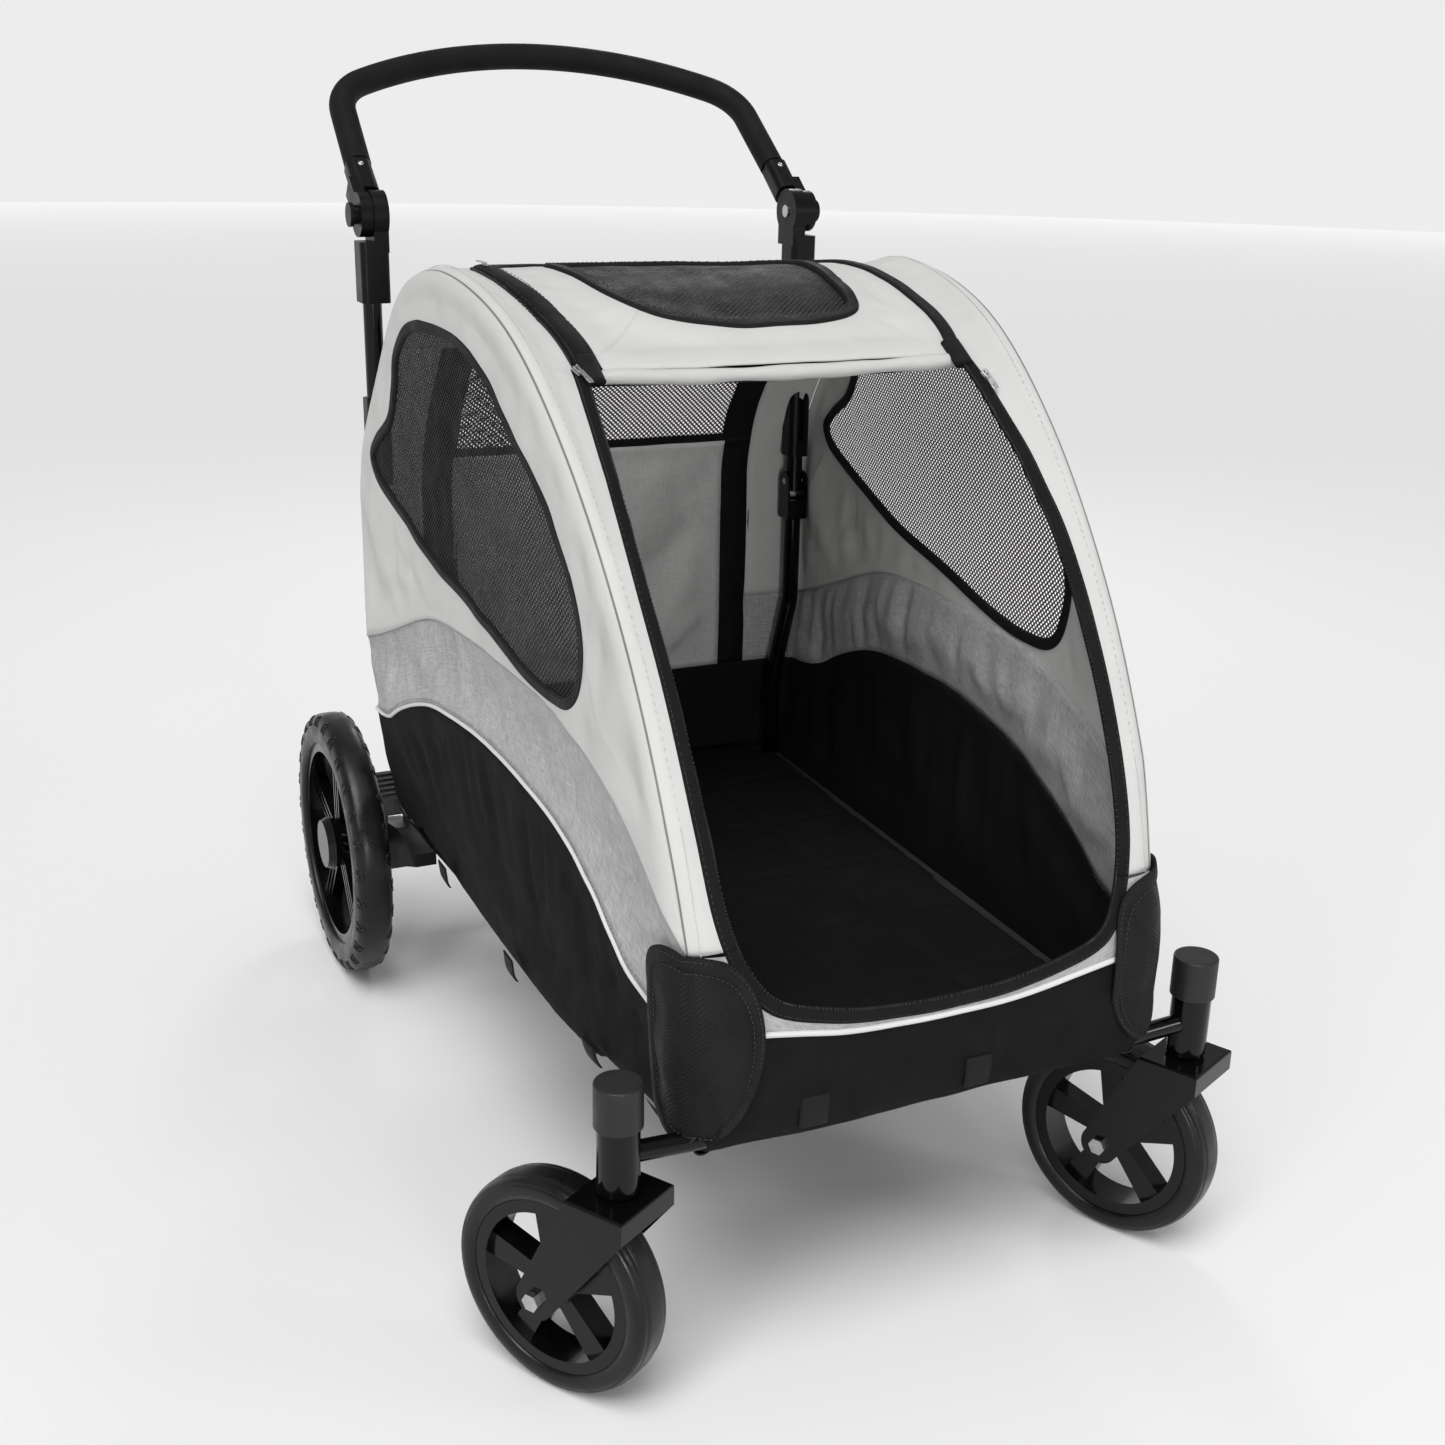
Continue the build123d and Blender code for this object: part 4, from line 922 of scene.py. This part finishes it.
def make_rear_wall():
    s, x = np.linspace(S_TAIL_PIPING, S_NET_LOW, 40), REAR_DOOR_X + 0.004
    # REAR_CLOTH is lighter than the grey cloth: painted light on the rear wall.
    panel("rear_cloth", [on_top(ruled(pair(-x, s), pair(x, s), 44))], REAR_CLOTH, "grey_fabric", 0.34,
          "rear_door", loose=(0.03, 18, 0.4), thickness=0.0012, keep=REAR_CLOTH_KEEP, foot=REAR_FOOT)
    fold = {"keep": REAR_ZIP_KEEP, "foot": REAR_FOOT}
    for side, out in SIDES.items():
        middle = pair(out * (REAR_DOOR_X + REAR_ZIP_X) / 2, np.linspace(S_TAIL_PIPING, S_TAIL_TOP, 60))
        sew_strip(f"rear_zip_{side}", middle, tape_section(0.043, 0.0022, 0.0012), ZIP_TAPE, "zipper", **fold)
        sew_thread(f"rear_coil_{side}", middle, ZIP_TEETH, "zipper", 0.0024, 0.0016, 0.0012, lift=0.0034, **fold)
    x = REAR_ZIP_X - 0.004
    for name, s, width in (("rear_net_hem", S_NET_LOW, 0.02), ("rear_top_zip", S_TAIL_TOP, 0.024)):
        sew_strip(name, pair(np.linspace(-x, x, 60), s), tape_section(width, 0.002, 0.0006), BINDING,
                  "black_fabric")


# ---------------------------------------------------------------- nets

NET_PITCH = 0.006


def grown(outline, by):
    centre = outline.mean(0)
    return centre + (outline - centre) * by


def inside(points, outline):
    """Which points lie inside a closed outline."""
    x, y = points[:, 0][:, None], points[:, 1][:, None]
    ax, ay = outline[:, 0][None], outline[:, 1][None]
    bx, by = np.roll(ax, -1, 1), np.roll(ay, -1, 1)
    crosses = (ay > y) != (by > y)
    with np.errstate(divide="ignore", invalid="ignore"):
        at = ax + (y - ay) * (bx - ax) / (by - ay)
    return (crosses & (x < at)).sum(1) % 2 == 1


def net(name, outline, place, long, *nodes, hole=0.56):
    """Knitted net inside a closed flat outline, as a lattice of small diamonds with holes."""
    low, high = outline.min(0) - NET_PITCH, outline.max(0) + NET_PITCH
    columns, rows = np.ceil((high - low) / NET_PITCH).astype(int) + 1
    i, j = [a.ravel() for a in np.meshgrid(np.arange(columns), np.arange(rows), indexing="ij")]
    centres = np.concatenate([pair(2 * i, 2 * j), pair(2 * i + 1, 2 * j + 1)])
    centres = centres[inside(low + centres * NET_PITCH / 2, outline)]
    reach = np.array([(1, 0), (0, 1), (-1, 0), (0, -1)])
    knots = centres[:, None] + reach[None]
    keys, index = np.unique(knots.reshape(-1, 2), axis=0, return_inverse=True)
    index = index.reshape(-1, 4)
    holes = (centres[:, None] + reach[None] * hole).reshape(-1, 2)
    flat = low + np.vstack([keys, holes]) * NET_PITCH / 2
    inner = len(keys) + np.arange(len(holes)).reshape(-1, 4)
    faces = [pair(index[:, k], index[:, k - 3], inner[:, k - 3], inner[:, k]) for k in range(4)]
    made = new_object(name, place(flat), np.vstack(faces).tolist(), NET)
    ride_cabin(made, *nodes, slot="black_mesh")


def make_nets():
    window = grown(smooth_line(WINDOW, 200, closed=True), 1.012)
    for side, out in SIDES.items():
        net(f"window_net_{side}", window, lambda flat, out=out: on_side(flat, out), 0.55, f"window_mesh_{side}")
    net("skylight_net", grown(on_roof(SKYLIGHT, 200, closed=True), 1.02), on_top, 0.27, "skylight_mesh",
        hole=0.42)
    x = REAR_DOOR_X + 0.004
    square = np.array([(-x, S_TAIL_TOP), (x, S_TAIL_TOP), (x, S_NET_LOW), (-x, S_NET_LOW)])
    net("rear_net", square, on_top, 0.34)


# ---------------------------------------------------------------- seams, bindings, zips

COIL = (0.0024, 0.0015, 0.0013)


def make_seams():
    for side, out in SIDES.items():
        corner = edge_x(out, np.linspace(S_BAND, S_TAIL_TOP, 220))
        _, inward = outline_at(corner[:, 1])
        normals = unit(pair(float(out), -inward[:, 0], -inward[:, 1]))
        path = on_top(corner) + normals * 0.0004
        seam = strip(f"crown_seam_{side}", path, normals, round_section(0.0011, 8), SEAM)
        ride_cabin(seam, slot="grey_fabric")
        corner[:, 0] -= out * 0.016
        sew_thread(f"crown_stitch_{side}", corner, LIGHT_THREAD, "light_fabric", lift=0.001)
        sew_thread(f"band_stitch_{side}", offset_line(BAND_TOP, -0.006)[6:-4], LIGHT_THREAD, "light_fabric",
                   out=out, lift=0.0012)
        sew_thread(f"band_low_stitch_{side}", offset_line(SIDE_PIPING, -0.006)[6:-4], GREY_THREAD, "grey_fabric",
                   out=out, lift=0.0012, keep=1.0)


def make_window_bindings():
    line = smooth_line(WINDOW, 260, closed=True)
    row = offset_line(line, -0.0035, closed=True)
    for side, out in SIDES.items():
        sew_strip(f"window_binding_{side}", line, wrapped_tape(0.012, 0.0026), BINDING, "black_fabric", out=out,
                  closed=True)
        sew_thread(f"window_stitch_{side}", row, BLACK_THREAD, "black_fabric", out=out, lift=0.0028,
                   closed=True)


def make_roof_bindings():
    light = on_roof(SKYLIGHT, 220, closed=True)
    sew_strip("skylight_binding", light, wrapped_tape(0.014, 0.0042), BINDING, "black_fabric", closed=True)
    for name, by in (("outer", -0.0045), ("inner", 0.0045)):
        sew_thread(f"skylight_stitch_{name}", offset_line(light, by, closed=True), BLACK_THREAD, "black_fabric",
                   lift=0.004, closed=True)
    path = np.vstack([on_roof(ROOF_PANEL["rear"][::-1], 60)[:-1], on_roof(ROOF_PANEL["right"][::-1], 50)])
    sew_strip("roof_binding", even(path, 120), wrapped_tape(0.015, 0.0032), BINDING, "black_fabric",
              "front_zipper", lift=0.0008)
    left = on_roof(ROOF_PANEL["left"][::-1], 70)
    sew_strip("roof_zip_flap", left, tape_section(0.025, 0.0034, 0.0022), ZIP_TAPE, "zipper", lift=0.0006)
    for name, by in (("outer", 0.01), ("inner", -0.01)):
        sew_thread(f"roof_flap_stitch_{name}", offset_line(left, by), BLACK_THREAD, "zipper", lift=0.0048)
    sew_thread("roof_zip_coil", offset_line(left, -0.0135), ZIP_TEETH, "zipper", 0.0022, 0.0014, 0.0013,
               lift=0.0014)


def make_roof_hem():
    """The flap's rolled front hem, uneven like folded cloth, and the bindings at its ends."""
    count, sides = 70, 16
    x = np.linspace(ROOF_PANEL["left"][-1][0], ROOF_PANEL["right"][0][0], count)
    s = roof_run(-0.188) - 0.003
    line = pair(x, s)
    path = on_top(line, -0.004)
    path[:, 2] -= 0.004 * np.sin(np.linspace(0, pi, count))
    swell = 0.0068 * (1 + 0.08 * np.sin(x * 47) + 0.06 * np.cos(x * 83))
    hem = strip("roof_front_hem", path, top_normals(line), round_section(1.0, sides), LIGHT_CLOTH)
    spokes = points_of(hem).reshape(count, sides, 3) - path[:, None]
    move_points(hem, path[:, None] + spokes * swell[:, None, None])
    ride_cabin(hem, slot="light_fabric")
    for side, end in (("left", x[0]), ("right", x[-1])):
        sew_strip(f"roof_end_binding_{side}", pair(end, np.linspace(s - 0.014, s + 0.02, 24)),
                  wrapped_tape(0.02, 0.005), BINDING, "black_fabric", lift=0.002)


def make_door_zip():
    """Door zip in three parts: the lower one runs along the front band, and one runs up each pillar."""
    door = door_edge(320)
    above = door[:, 1] >= S_BAND
    right, left = door[above & (door[:, 0] > 0)], door[above & (door[:, 0] < 0)]
    low = np.vstack([right[-1], door[~above], left[0]])
    for name, line, keep in (("right", right, FOLD_KEEP), ("low", low, 1.0), ("left", left, FOLD_KEEP)):
        edge, teeth, row = [offset_line(line, by) for by in (-0.0045, 0.0012, -0.0085)]
        sew_strip(f"door_tape_{name}", edge, wrapped_tape(0.014, 0.0021), ZIP_TAPE, "zipper", lift=0.0004, keep=keep)
        sew_strip(f"door_cord_{name}", line, round_section(0.0017, 8), ZIP_TEETH, "zipper", lift=0.0004, keep=keep)
        sew_thread(f"door_teeth_{name}", teeth, ZIP_TEETH, "zipper", *COIL, lift=0.0012, keep=keep)
        sew_thread(f"door_stitch_{name}", row, BLACK_THREAD, "zipper", lift=0.0022, keep=keep)


def make_piping():
    shown = SIDE_PIPING[SIDE_PIPING[:, 0] > -0.452]
    for side, out in SIDES.items():
        sew_strip(f"piping_{side}", shown, round_section(0.002, 12), WHITE_PIPING, "piping", "piping", out=out,
                  lift=0.0012, keep=1.0)
    line = sill_line(90)
    sew_strip("piping_front", line[np.abs(line[:, 0]) < 0.178], round_section(0.0026, 12), WHITE_PIPING, "piping",
              lift=0.0012, keep=1.0)


SLIDER_SIZE = 0.78
# Centre, half sizes (along the zip, across it, out of it) and taper of each block of a zip slider and its pull
SLIDER_BLOCKS = [((0, 0, 0.0012), (0.0065, 0.0045, 0.0011), 0.6), ((0, 0, 0.0044), (0.0062, 0.0042, 0.001), 0.7),
                 ((0, 0, 0.003), (0.003, 0.0012, 0.0012), 1.0),
                 ((-0.002, 0, 0.0066), (0.004, 0.0011, 0.0012), 1.0),
                 ((0.012, 0, 0.0068), (0.0085, 0.0026, 0.0006), 1.5),
                 ((0.023, 0, 0.0068), (0.0035, 0.004, 0.0007), 0.8)]


def make_sliders():
    """Zip sliders, each with a bridge and a pull tab that lies back along the tape."""
    for name, x, s, along in (("roof", -0.216, float(roof_run(0.012)), (0, 1, 0)),
                              ("door_left", -0.197, S_DOOR_TOP - 0.006, (0.3, -1, -0.6)),
                              ("door_right", 0.203, S_DOOR_TOP - 0.04, (0.1, -1, -0.8))):
        flat = np.array([[x, s]])
        place, normal = Vector(on_top(flat, 0.003)[0]), Vector(top_normals(flat)[0]).normalized()
        along = Vector(along).normalized()
        side = along.cross(normal)
        work = bmesh.new()
        for centre, half, taper in SLIDER_BLOCKS:
            for v in bmesh.ops.create_cube(work, size=2.0)["verts"]:
                share = taper if v.co.x > 0 else 1.0
                local = Vector((v.co.x * half[0], v.co.y * half[1] * share, v.co.z * half[2])) + Vector(centre)
                local *= SLIDER_SIZE
                v.co = place + along * local.x + side * local.y + normal * local.z
        made = from_bmesh(f"slider_{name}", work, ZINC)
        rounding = made.modifiers.new("edges", "BEVEL")
        rounding.width = 0.0005 * SLIDER_SIZE
        rounding.segments = 2
        ride_cabin(apply_modifiers(made), slot="steel")


def on_corner(tz, out, lift):
    """Points round a front corner: t under 0 is on the front wall and over 0 on the side wall."""
    t, z = tz[..., 0], tz[..., 1]
    y = np.interp(z, PROFILE[FRONT][:, 1], PROFILE[FRONT][:, 0])
    x = out * (wall_half(y, z) + np.minimum(t, 0))
    front = on_top(pair(x, front_run(z)), lift)
    side = on_side(pair(y + np.maximum(t, 0), z), out, lift)
    return np.where((t < 0)[..., None], front, side)


def patch_shape(u, v):
    """Flat outline of a corner patch: (t, z) from a unit square, with round corners and a cut-away front."""
    reach = np.maximum(np.abs(u), np.abs(v))
    round_off = reach / np.maximum((np.abs(u) ** 3 + np.abs(v) ** 3) ** (1 / 3), 1e-9)
    narrow = np.clip(-v + 0.1, 0, 1.1) ** 2
    t = u * round_off * np.where(u < 0, 0.062 * (1 - 0.42 * narrow), 0.064 * (1 - 0.2 * narrow))
    return pair(t, 0.322 + v * round_off * 0.086 + 0.002 * u + 0.002 * np.sin(3.1 * u))


def make_corner_patches():
    v, u = np.meshgrid(np.linspace(-1, 1, 57), np.linspace(-1, 1, 57), indexing="ij")
    edge = 1 - np.maximum(np.abs(u), np.abs(v))
    shape = 0.0024 * np.clip((0.13 - edge) / 0.03, 0, 1) + 0.0035 * np.clip(edge / 0.5, 0, 1)
    flat = patch_shape(u, v)
    rim = np.linspace(-1, 1, 60)
    loop = np.vstack([pair(rim, -1.0), pair(1.0, rim)[1:], pair(rim[::-1], 1.0)[1:],
                      pair(-1.0, rim[::-1])[1:-1]])
    for side, out in SIDES.items():
        lift = 0.003 + shape + 0.0016 * lumps(pair(flat[..., 0], flat[..., 1], 0.0), 0.03, out)
        nodes = ["corner_patches"] if side == "left" else []
        panel(f"corner_patch_{side}", [on_corner(flat, out, lift)], PATCH_CLOTH, "black_fabric", 0.17, *nodes,
              thickness=0.0024, keep=1.0)
        for row, (scale, height) in enumerate(((0.955, 0.0064), (0.845, 0.006))):
            line = patch_shape(*(loop * scale).T)
            path = on_corner(line, out, height)
            outward = on_corner(line, out, 0.02) - path
            thread = stitches(f"patch_stitch_{side}_{row}", path, outward, BLACK_THREAD, 0.0042, 0.003, 0.0005,
                              closed=True)
            ride_cabin(thread, slot="black_fabric", keep=1.0)


def make_webbing():
    """Short webbing tabs folded round the tub's bottom edges."""
    lines = [(pair(x, np.linspace(0.034, 0.005, 12)), 0) for x in (-0.12, 0.04)]
    bottom = PROFILE[int(S_BACK / STEP):][::-1]
    for out in SIDES.values():
        for y in (-0.33, -0.13, 0.09):
            low = float(np.interp(y, bottom[:, 0], bottom[:, 1]))
            lines.append((pair(y, low + np.linspace(0.032, 0.007, 12)), out))
    for number, (line, out) in enumerate(lines):
        nodes = [] if number else ["webbing_tabs"]
        sew_strip(f"webbing_tab_{number}", line, tape_section(0.027, 0.0024), BINDING, "black_fabric", *nodes,
                  out=out, lift=0.0022, keep=1.0)


ROLL_TIES = (-0.09, 0.09)


def make_door_roll():
    """Rolled net door under the roof's front edge, held by two tapes."""
    low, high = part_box("door_roll")
    centre, radius = (low + high) / 2, (high.z - low.z) / 2
    count, ring, back = 90, 26, centre.y + 0.018
    x = np.linspace(low.x + 0.004, high.x - 0.004, count)
    turn = np.linspace(0, 2 * pi, ring, endpoint=False)
    drop = 0.003 * np.sin(np.linspace(0, pi, count))
    bulge = 1 + 0.07 * lumps(pair(x, 0.0, 0.0), 0.03)
    spiral = 1 + 0.05 * turn[None] / (2 * pi) + 0.02 * np.sin(3 * turn[None] + x[:, None] * 20)
    r = radius * 0.66 * bulge[:, None] * spiral
    for tie in ROLL_TIES:
        r = r * (1 - 0.16 * np.exp(-((x - tie) / 0.012) ** 2))[:, None]
    grid = pair(x[:, None], back + r * np.cos(turn), centre.z - 0.001 - drop[:, None] + r * np.sin(turn))
    roll = grids_object("rolled_door", [grid], NET, wrap=True)
    ride_cabin(roll, "door_roll", slot="black_mesh")
    turn = np.linspace(0, 2 * pi, 40, endpoint=False)
    outward, r = pair(0.0, np.cos(turn), np.sin(turn)), radius * 0.62
    for number, tie in enumerate(ROLL_TIES):
        path = np.array([tie, back, centre.z - 0.003]) + r * outward
        band = strip(f"roll_tie_{number}", path, outward, tape_section(0.01, 0.0012), BINDING, closed=True)
        ride_cabin(band, slot="black_fabric")


MAT_FRONT_HALF, MAT_REAR_HALF, MAT_PUFF = 0.214, 0.232, 0.005


def make_mat():
    """Quilted floor mat, puffed by cloth simulation and sewn down in channels."""
    low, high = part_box("floor_mat")
    right = [(MAT_REAR_HALF, 0.252), (0.216, 0.256), (0.212, high.y - 0.004)]
    corners = [(-MAT_FRONT_HALF, low.y + 0.004), (MAT_FRONT_HALF, low.y + 0.004), *right]
    corners += [(-x, y) for x, y in right[::-1]]
    work = bmesh.new()
    face = work.faces.new([work.verts.new((x, y, low.z + 0.001)) for x, y in corners][::-1])
    raised = bmesh.ops.extrude_face_region(work, geom=[face])
    for v in (g for g in raised["geom"] if isinstance(g, bmesh.types.BMVert)):
        v.co.z = high.z - 0.003
    bmesh.ops.recalc_face_normals(work, faces=work.faces)
    mat = from_bmesh("mat", work, BLACK_CLOTH)
    remesh = mat.modifiers.new("remesh", "REMESH")
    remesh.mode = "VOXEL"
    remesh.voxel_size = 0.006
    apply_modifiers(mat)
    rest = points_of(mat)
    cloth = mat.modifiers.new("Cloth", "CLOTH")
    cloth.settings.use_pressure = True
    cloth.settings.uniform_pressure_force = 4
    cloth.settings.effector_weights.gravity = 0
    play_cloth(mat, 12)
    moved = held_near(rest, points_of(mat) - rest, MAT_PUFF)
    channel = np.exp(-((moved[:, 0] / 0.105 + 0.5) % 1.0 - 0.5) ** 2 / 0.003)
    channel = np.maximum(channel, np.exp(-((moved[:, 1] / 0.13 + 0.3) % 1.0 - 0.5) ** 2 / 0.002))
    moved[:, 2] -= np.where(moved[:, 2] > (low.z + high.z) / 2, 0.0035 * channel, 0)
    moved[:, 2] = np.clip(moved[:, 2], low.z, high.z + 0.004)
    move_points(mat, moved)
    mat.data.polygons.foreach_set("use_smooth", [True] * len(mat.data.polygons))
    fine = mat.modifiers.new("fine", "SUBSURF")
    fine.levels = fine.render_levels = 1
    apply_modifiers(mat)
    ride_fixed(mat, "floor_mat", slot="black_fabric")


# ---------------------------------------------------------------- wheels and handle trim

REAR_TYRE_RADIUS, REAR_TYRE_INNER, REAR_TYRE_WIDTH = 0.161, 0.125, 0.044
SQUARENESS = 0.62   # power of the sine that makes a tyre's section squarer than round
MARK_COUNT, MARK_SIDES = 27, 5


def wheel_frame(joint_name):
    """Centre, axle direction, level direction and up of a wheel."""
    joint = JOINTS[joint_name]
    axis, up = Vector(joint["axis"]).normalized(), Vector((0, 0, 1))
    return [np.array(v) for v in (Vector(joint["pos_m"]), axis, up.cross(axis).normalized(), up)]


def tyre(name, joint_name, outer, inner, width, node_name, body, grooves):
    """Tyre turned round its axle, with tread and sidewall grooves."""
    centre, axis, across, up = wheel_frame(joint_name)
    half, section = width / 2, []
    for angle in np.linspace(-90, 90, 33):
        a = radians(angle)
        wide = half * np.sign(sin(a)) * abs(sin(a)) ** SQUARENESS
        tall = inner + (outer - inner) * (0.3 + 0.7 * abs(cos(a)) ** SQUARENESS)
        dip = sum(g * np.exp(-((angle - at) / 3.2) ** 2) for at, g in grooves)
        section.append((tall - dip * abs(cos(a)), wide - np.sign(wide) * dip * abs(sin(a))))
    section += [(inner + 0.001, half * 0.93), (inner, half * 0.8), (inner, -half * 0.8),
                (inner + 0.001, -half * 0.93)]
    grid = []
    for turn in np.linspace(0, 2 * pi, 120, endpoint=False):
        radial = across * cos(turn) + up * sin(turn)
        grid.append([centre + radial * r + axis * a for r, a in section])
    made = grids_object(name, [np.array(grid + grid[:1])], RUBBER, wrap=True)
    ride_fixed(made, node_name, slot="tyre", body=body)


def tread_marks(name, joint_name, body):
    """Small raised arches round both shoulders of a rear tyre."""
    centre, axis, across, up = wheel_frame(joint_name)
    vertices, faces = [], []
    for mark in range(MARK_COUNT):
        for side in (-1, 1):
            turn = 2 * pi * (mark + (0.5 if side > 0 else 0)) / MARK_COUNT
            for grow in (1.0, 0.55):
                line = []
                for t in np.arange(13) / 12 * pi:
                    lean = radians(74 - 44 * grow * sin(t))
                    wide = REAR_TYRE_WIDTH / 2 * abs(sin(lean)) ** SQUARENESS
                    tall = REAR_TYRE_RADIUS - (REAR_TYRE_RADIUS - REAR_TYRE_INNER) * 0.7 * (
                        1 - abs(cos(lean)) ** SQUARENESS)
                    here = turn + 0.043 * grow * -cos(t)
                    radial = across * cos(here) + up * sin(here)
                    line.append(centre + radial * (tall + 0.0002) + axis * side * wide)
                line = np.array(line)
                sideways, out = frames_along(line, unit(line - centre) + axis * side * 0.6)
                faces += tube_faces(len(line), MARK_SIDES, len(vertices))
                for p, a, b in zip(line, sideways, out):
                    angles = [2 * pi * k / MARK_SIDES for k in range(MARK_SIDES)]
                    vertices += [p + (a * cos(angle) + b * sin(angle)) * 0.001 for angle in angles]
    ride_fixed(new_object(name, vertices, faces, RUBBER), slot="tyre", body=body)


def make_wheels():
    for side in SIDES:
        tyre(f"front_tyre_skin_{side}", f"front_wheel_spin_{side}", 0.1, 0.08, 0.04, f"front_tyre_{side}",
             f"front_wheel_{side}", [(-24, 0.001), (24, 0.001), (-62, 0.0008), (62, 0.0008)])
        joint_name, body = f"rear_wheel_spin_{side}", f"rear_wheel_{side}"
        tyre(f"rear_tyre_skin_{side}", joint_name, REAR_TYRE_RADIUS, REAR_TYRE_INNER, REAR_TYRE_WIDTH,
             f"rear_tyre_{side}", body, [(-74, 0.0009), (74, 0.0009)])
        tread_marks(f"rear_tread_{side}", joint_name, body)


ARM_LEAN, ARM_PIVOT = radians(38), (0.2505, 0.285, 0.918)
# Radius and height of a screw head from its rim to the middle of its socket
SCREW_RINGS = [(0.0033, -0.0004), (0.0033, 0.0004), (0.0028, 0.0011), (0.0019, 0.0015), (0.0015, 0.0015),
               (0.0014, 0.0005), (0.0004, 0.0004)]


def make_handle_screws():
    """Domed screws with a socket, which clamp the handle's arms on its tube."""
    along = Vector((0, cos(ARM_LEAN), sin(ARM_LEAN)))
    up = Vector((0, -sin(ARM_LEAN), cos(ARM_LEAN)))
    turns = np.linspace(0, 2 * pi, 24, endpoint=False)
    for side, out in SIDES.items():
        centre = Vector((out * ARM_PIVOT[0], *ARM_PIVOT[1:])) + along * 0.064 + up * 0.0135
        grid = np.array([[centre + (Vector((1, 0, 0)) * cos(t) + along * sin(t)) * r + up * h for t in turns]
                         for r, h in SCREW_RINGS])
        screw = grids_object(f"handle_screw_{side}", [grid], ZINC, wrap=True)
        ride_fixed(screw, slot="steel", body="handle")


make_camera()
make_studio()
dress_cad_nodes()
for make in (make_side_panels, make_canopy, make_roof_flap, make_bands, make_tub, make_rear_wall, make_nets,
             make_seams, make_window_bindings, make_roof_bindings, make_roof_hem, make_door_zip, make_piping,
             make_sliders, make_corner_patches, make_webbing, make_door_roll, make_mat, make_wheels,
             make_handle_screws):
    make()
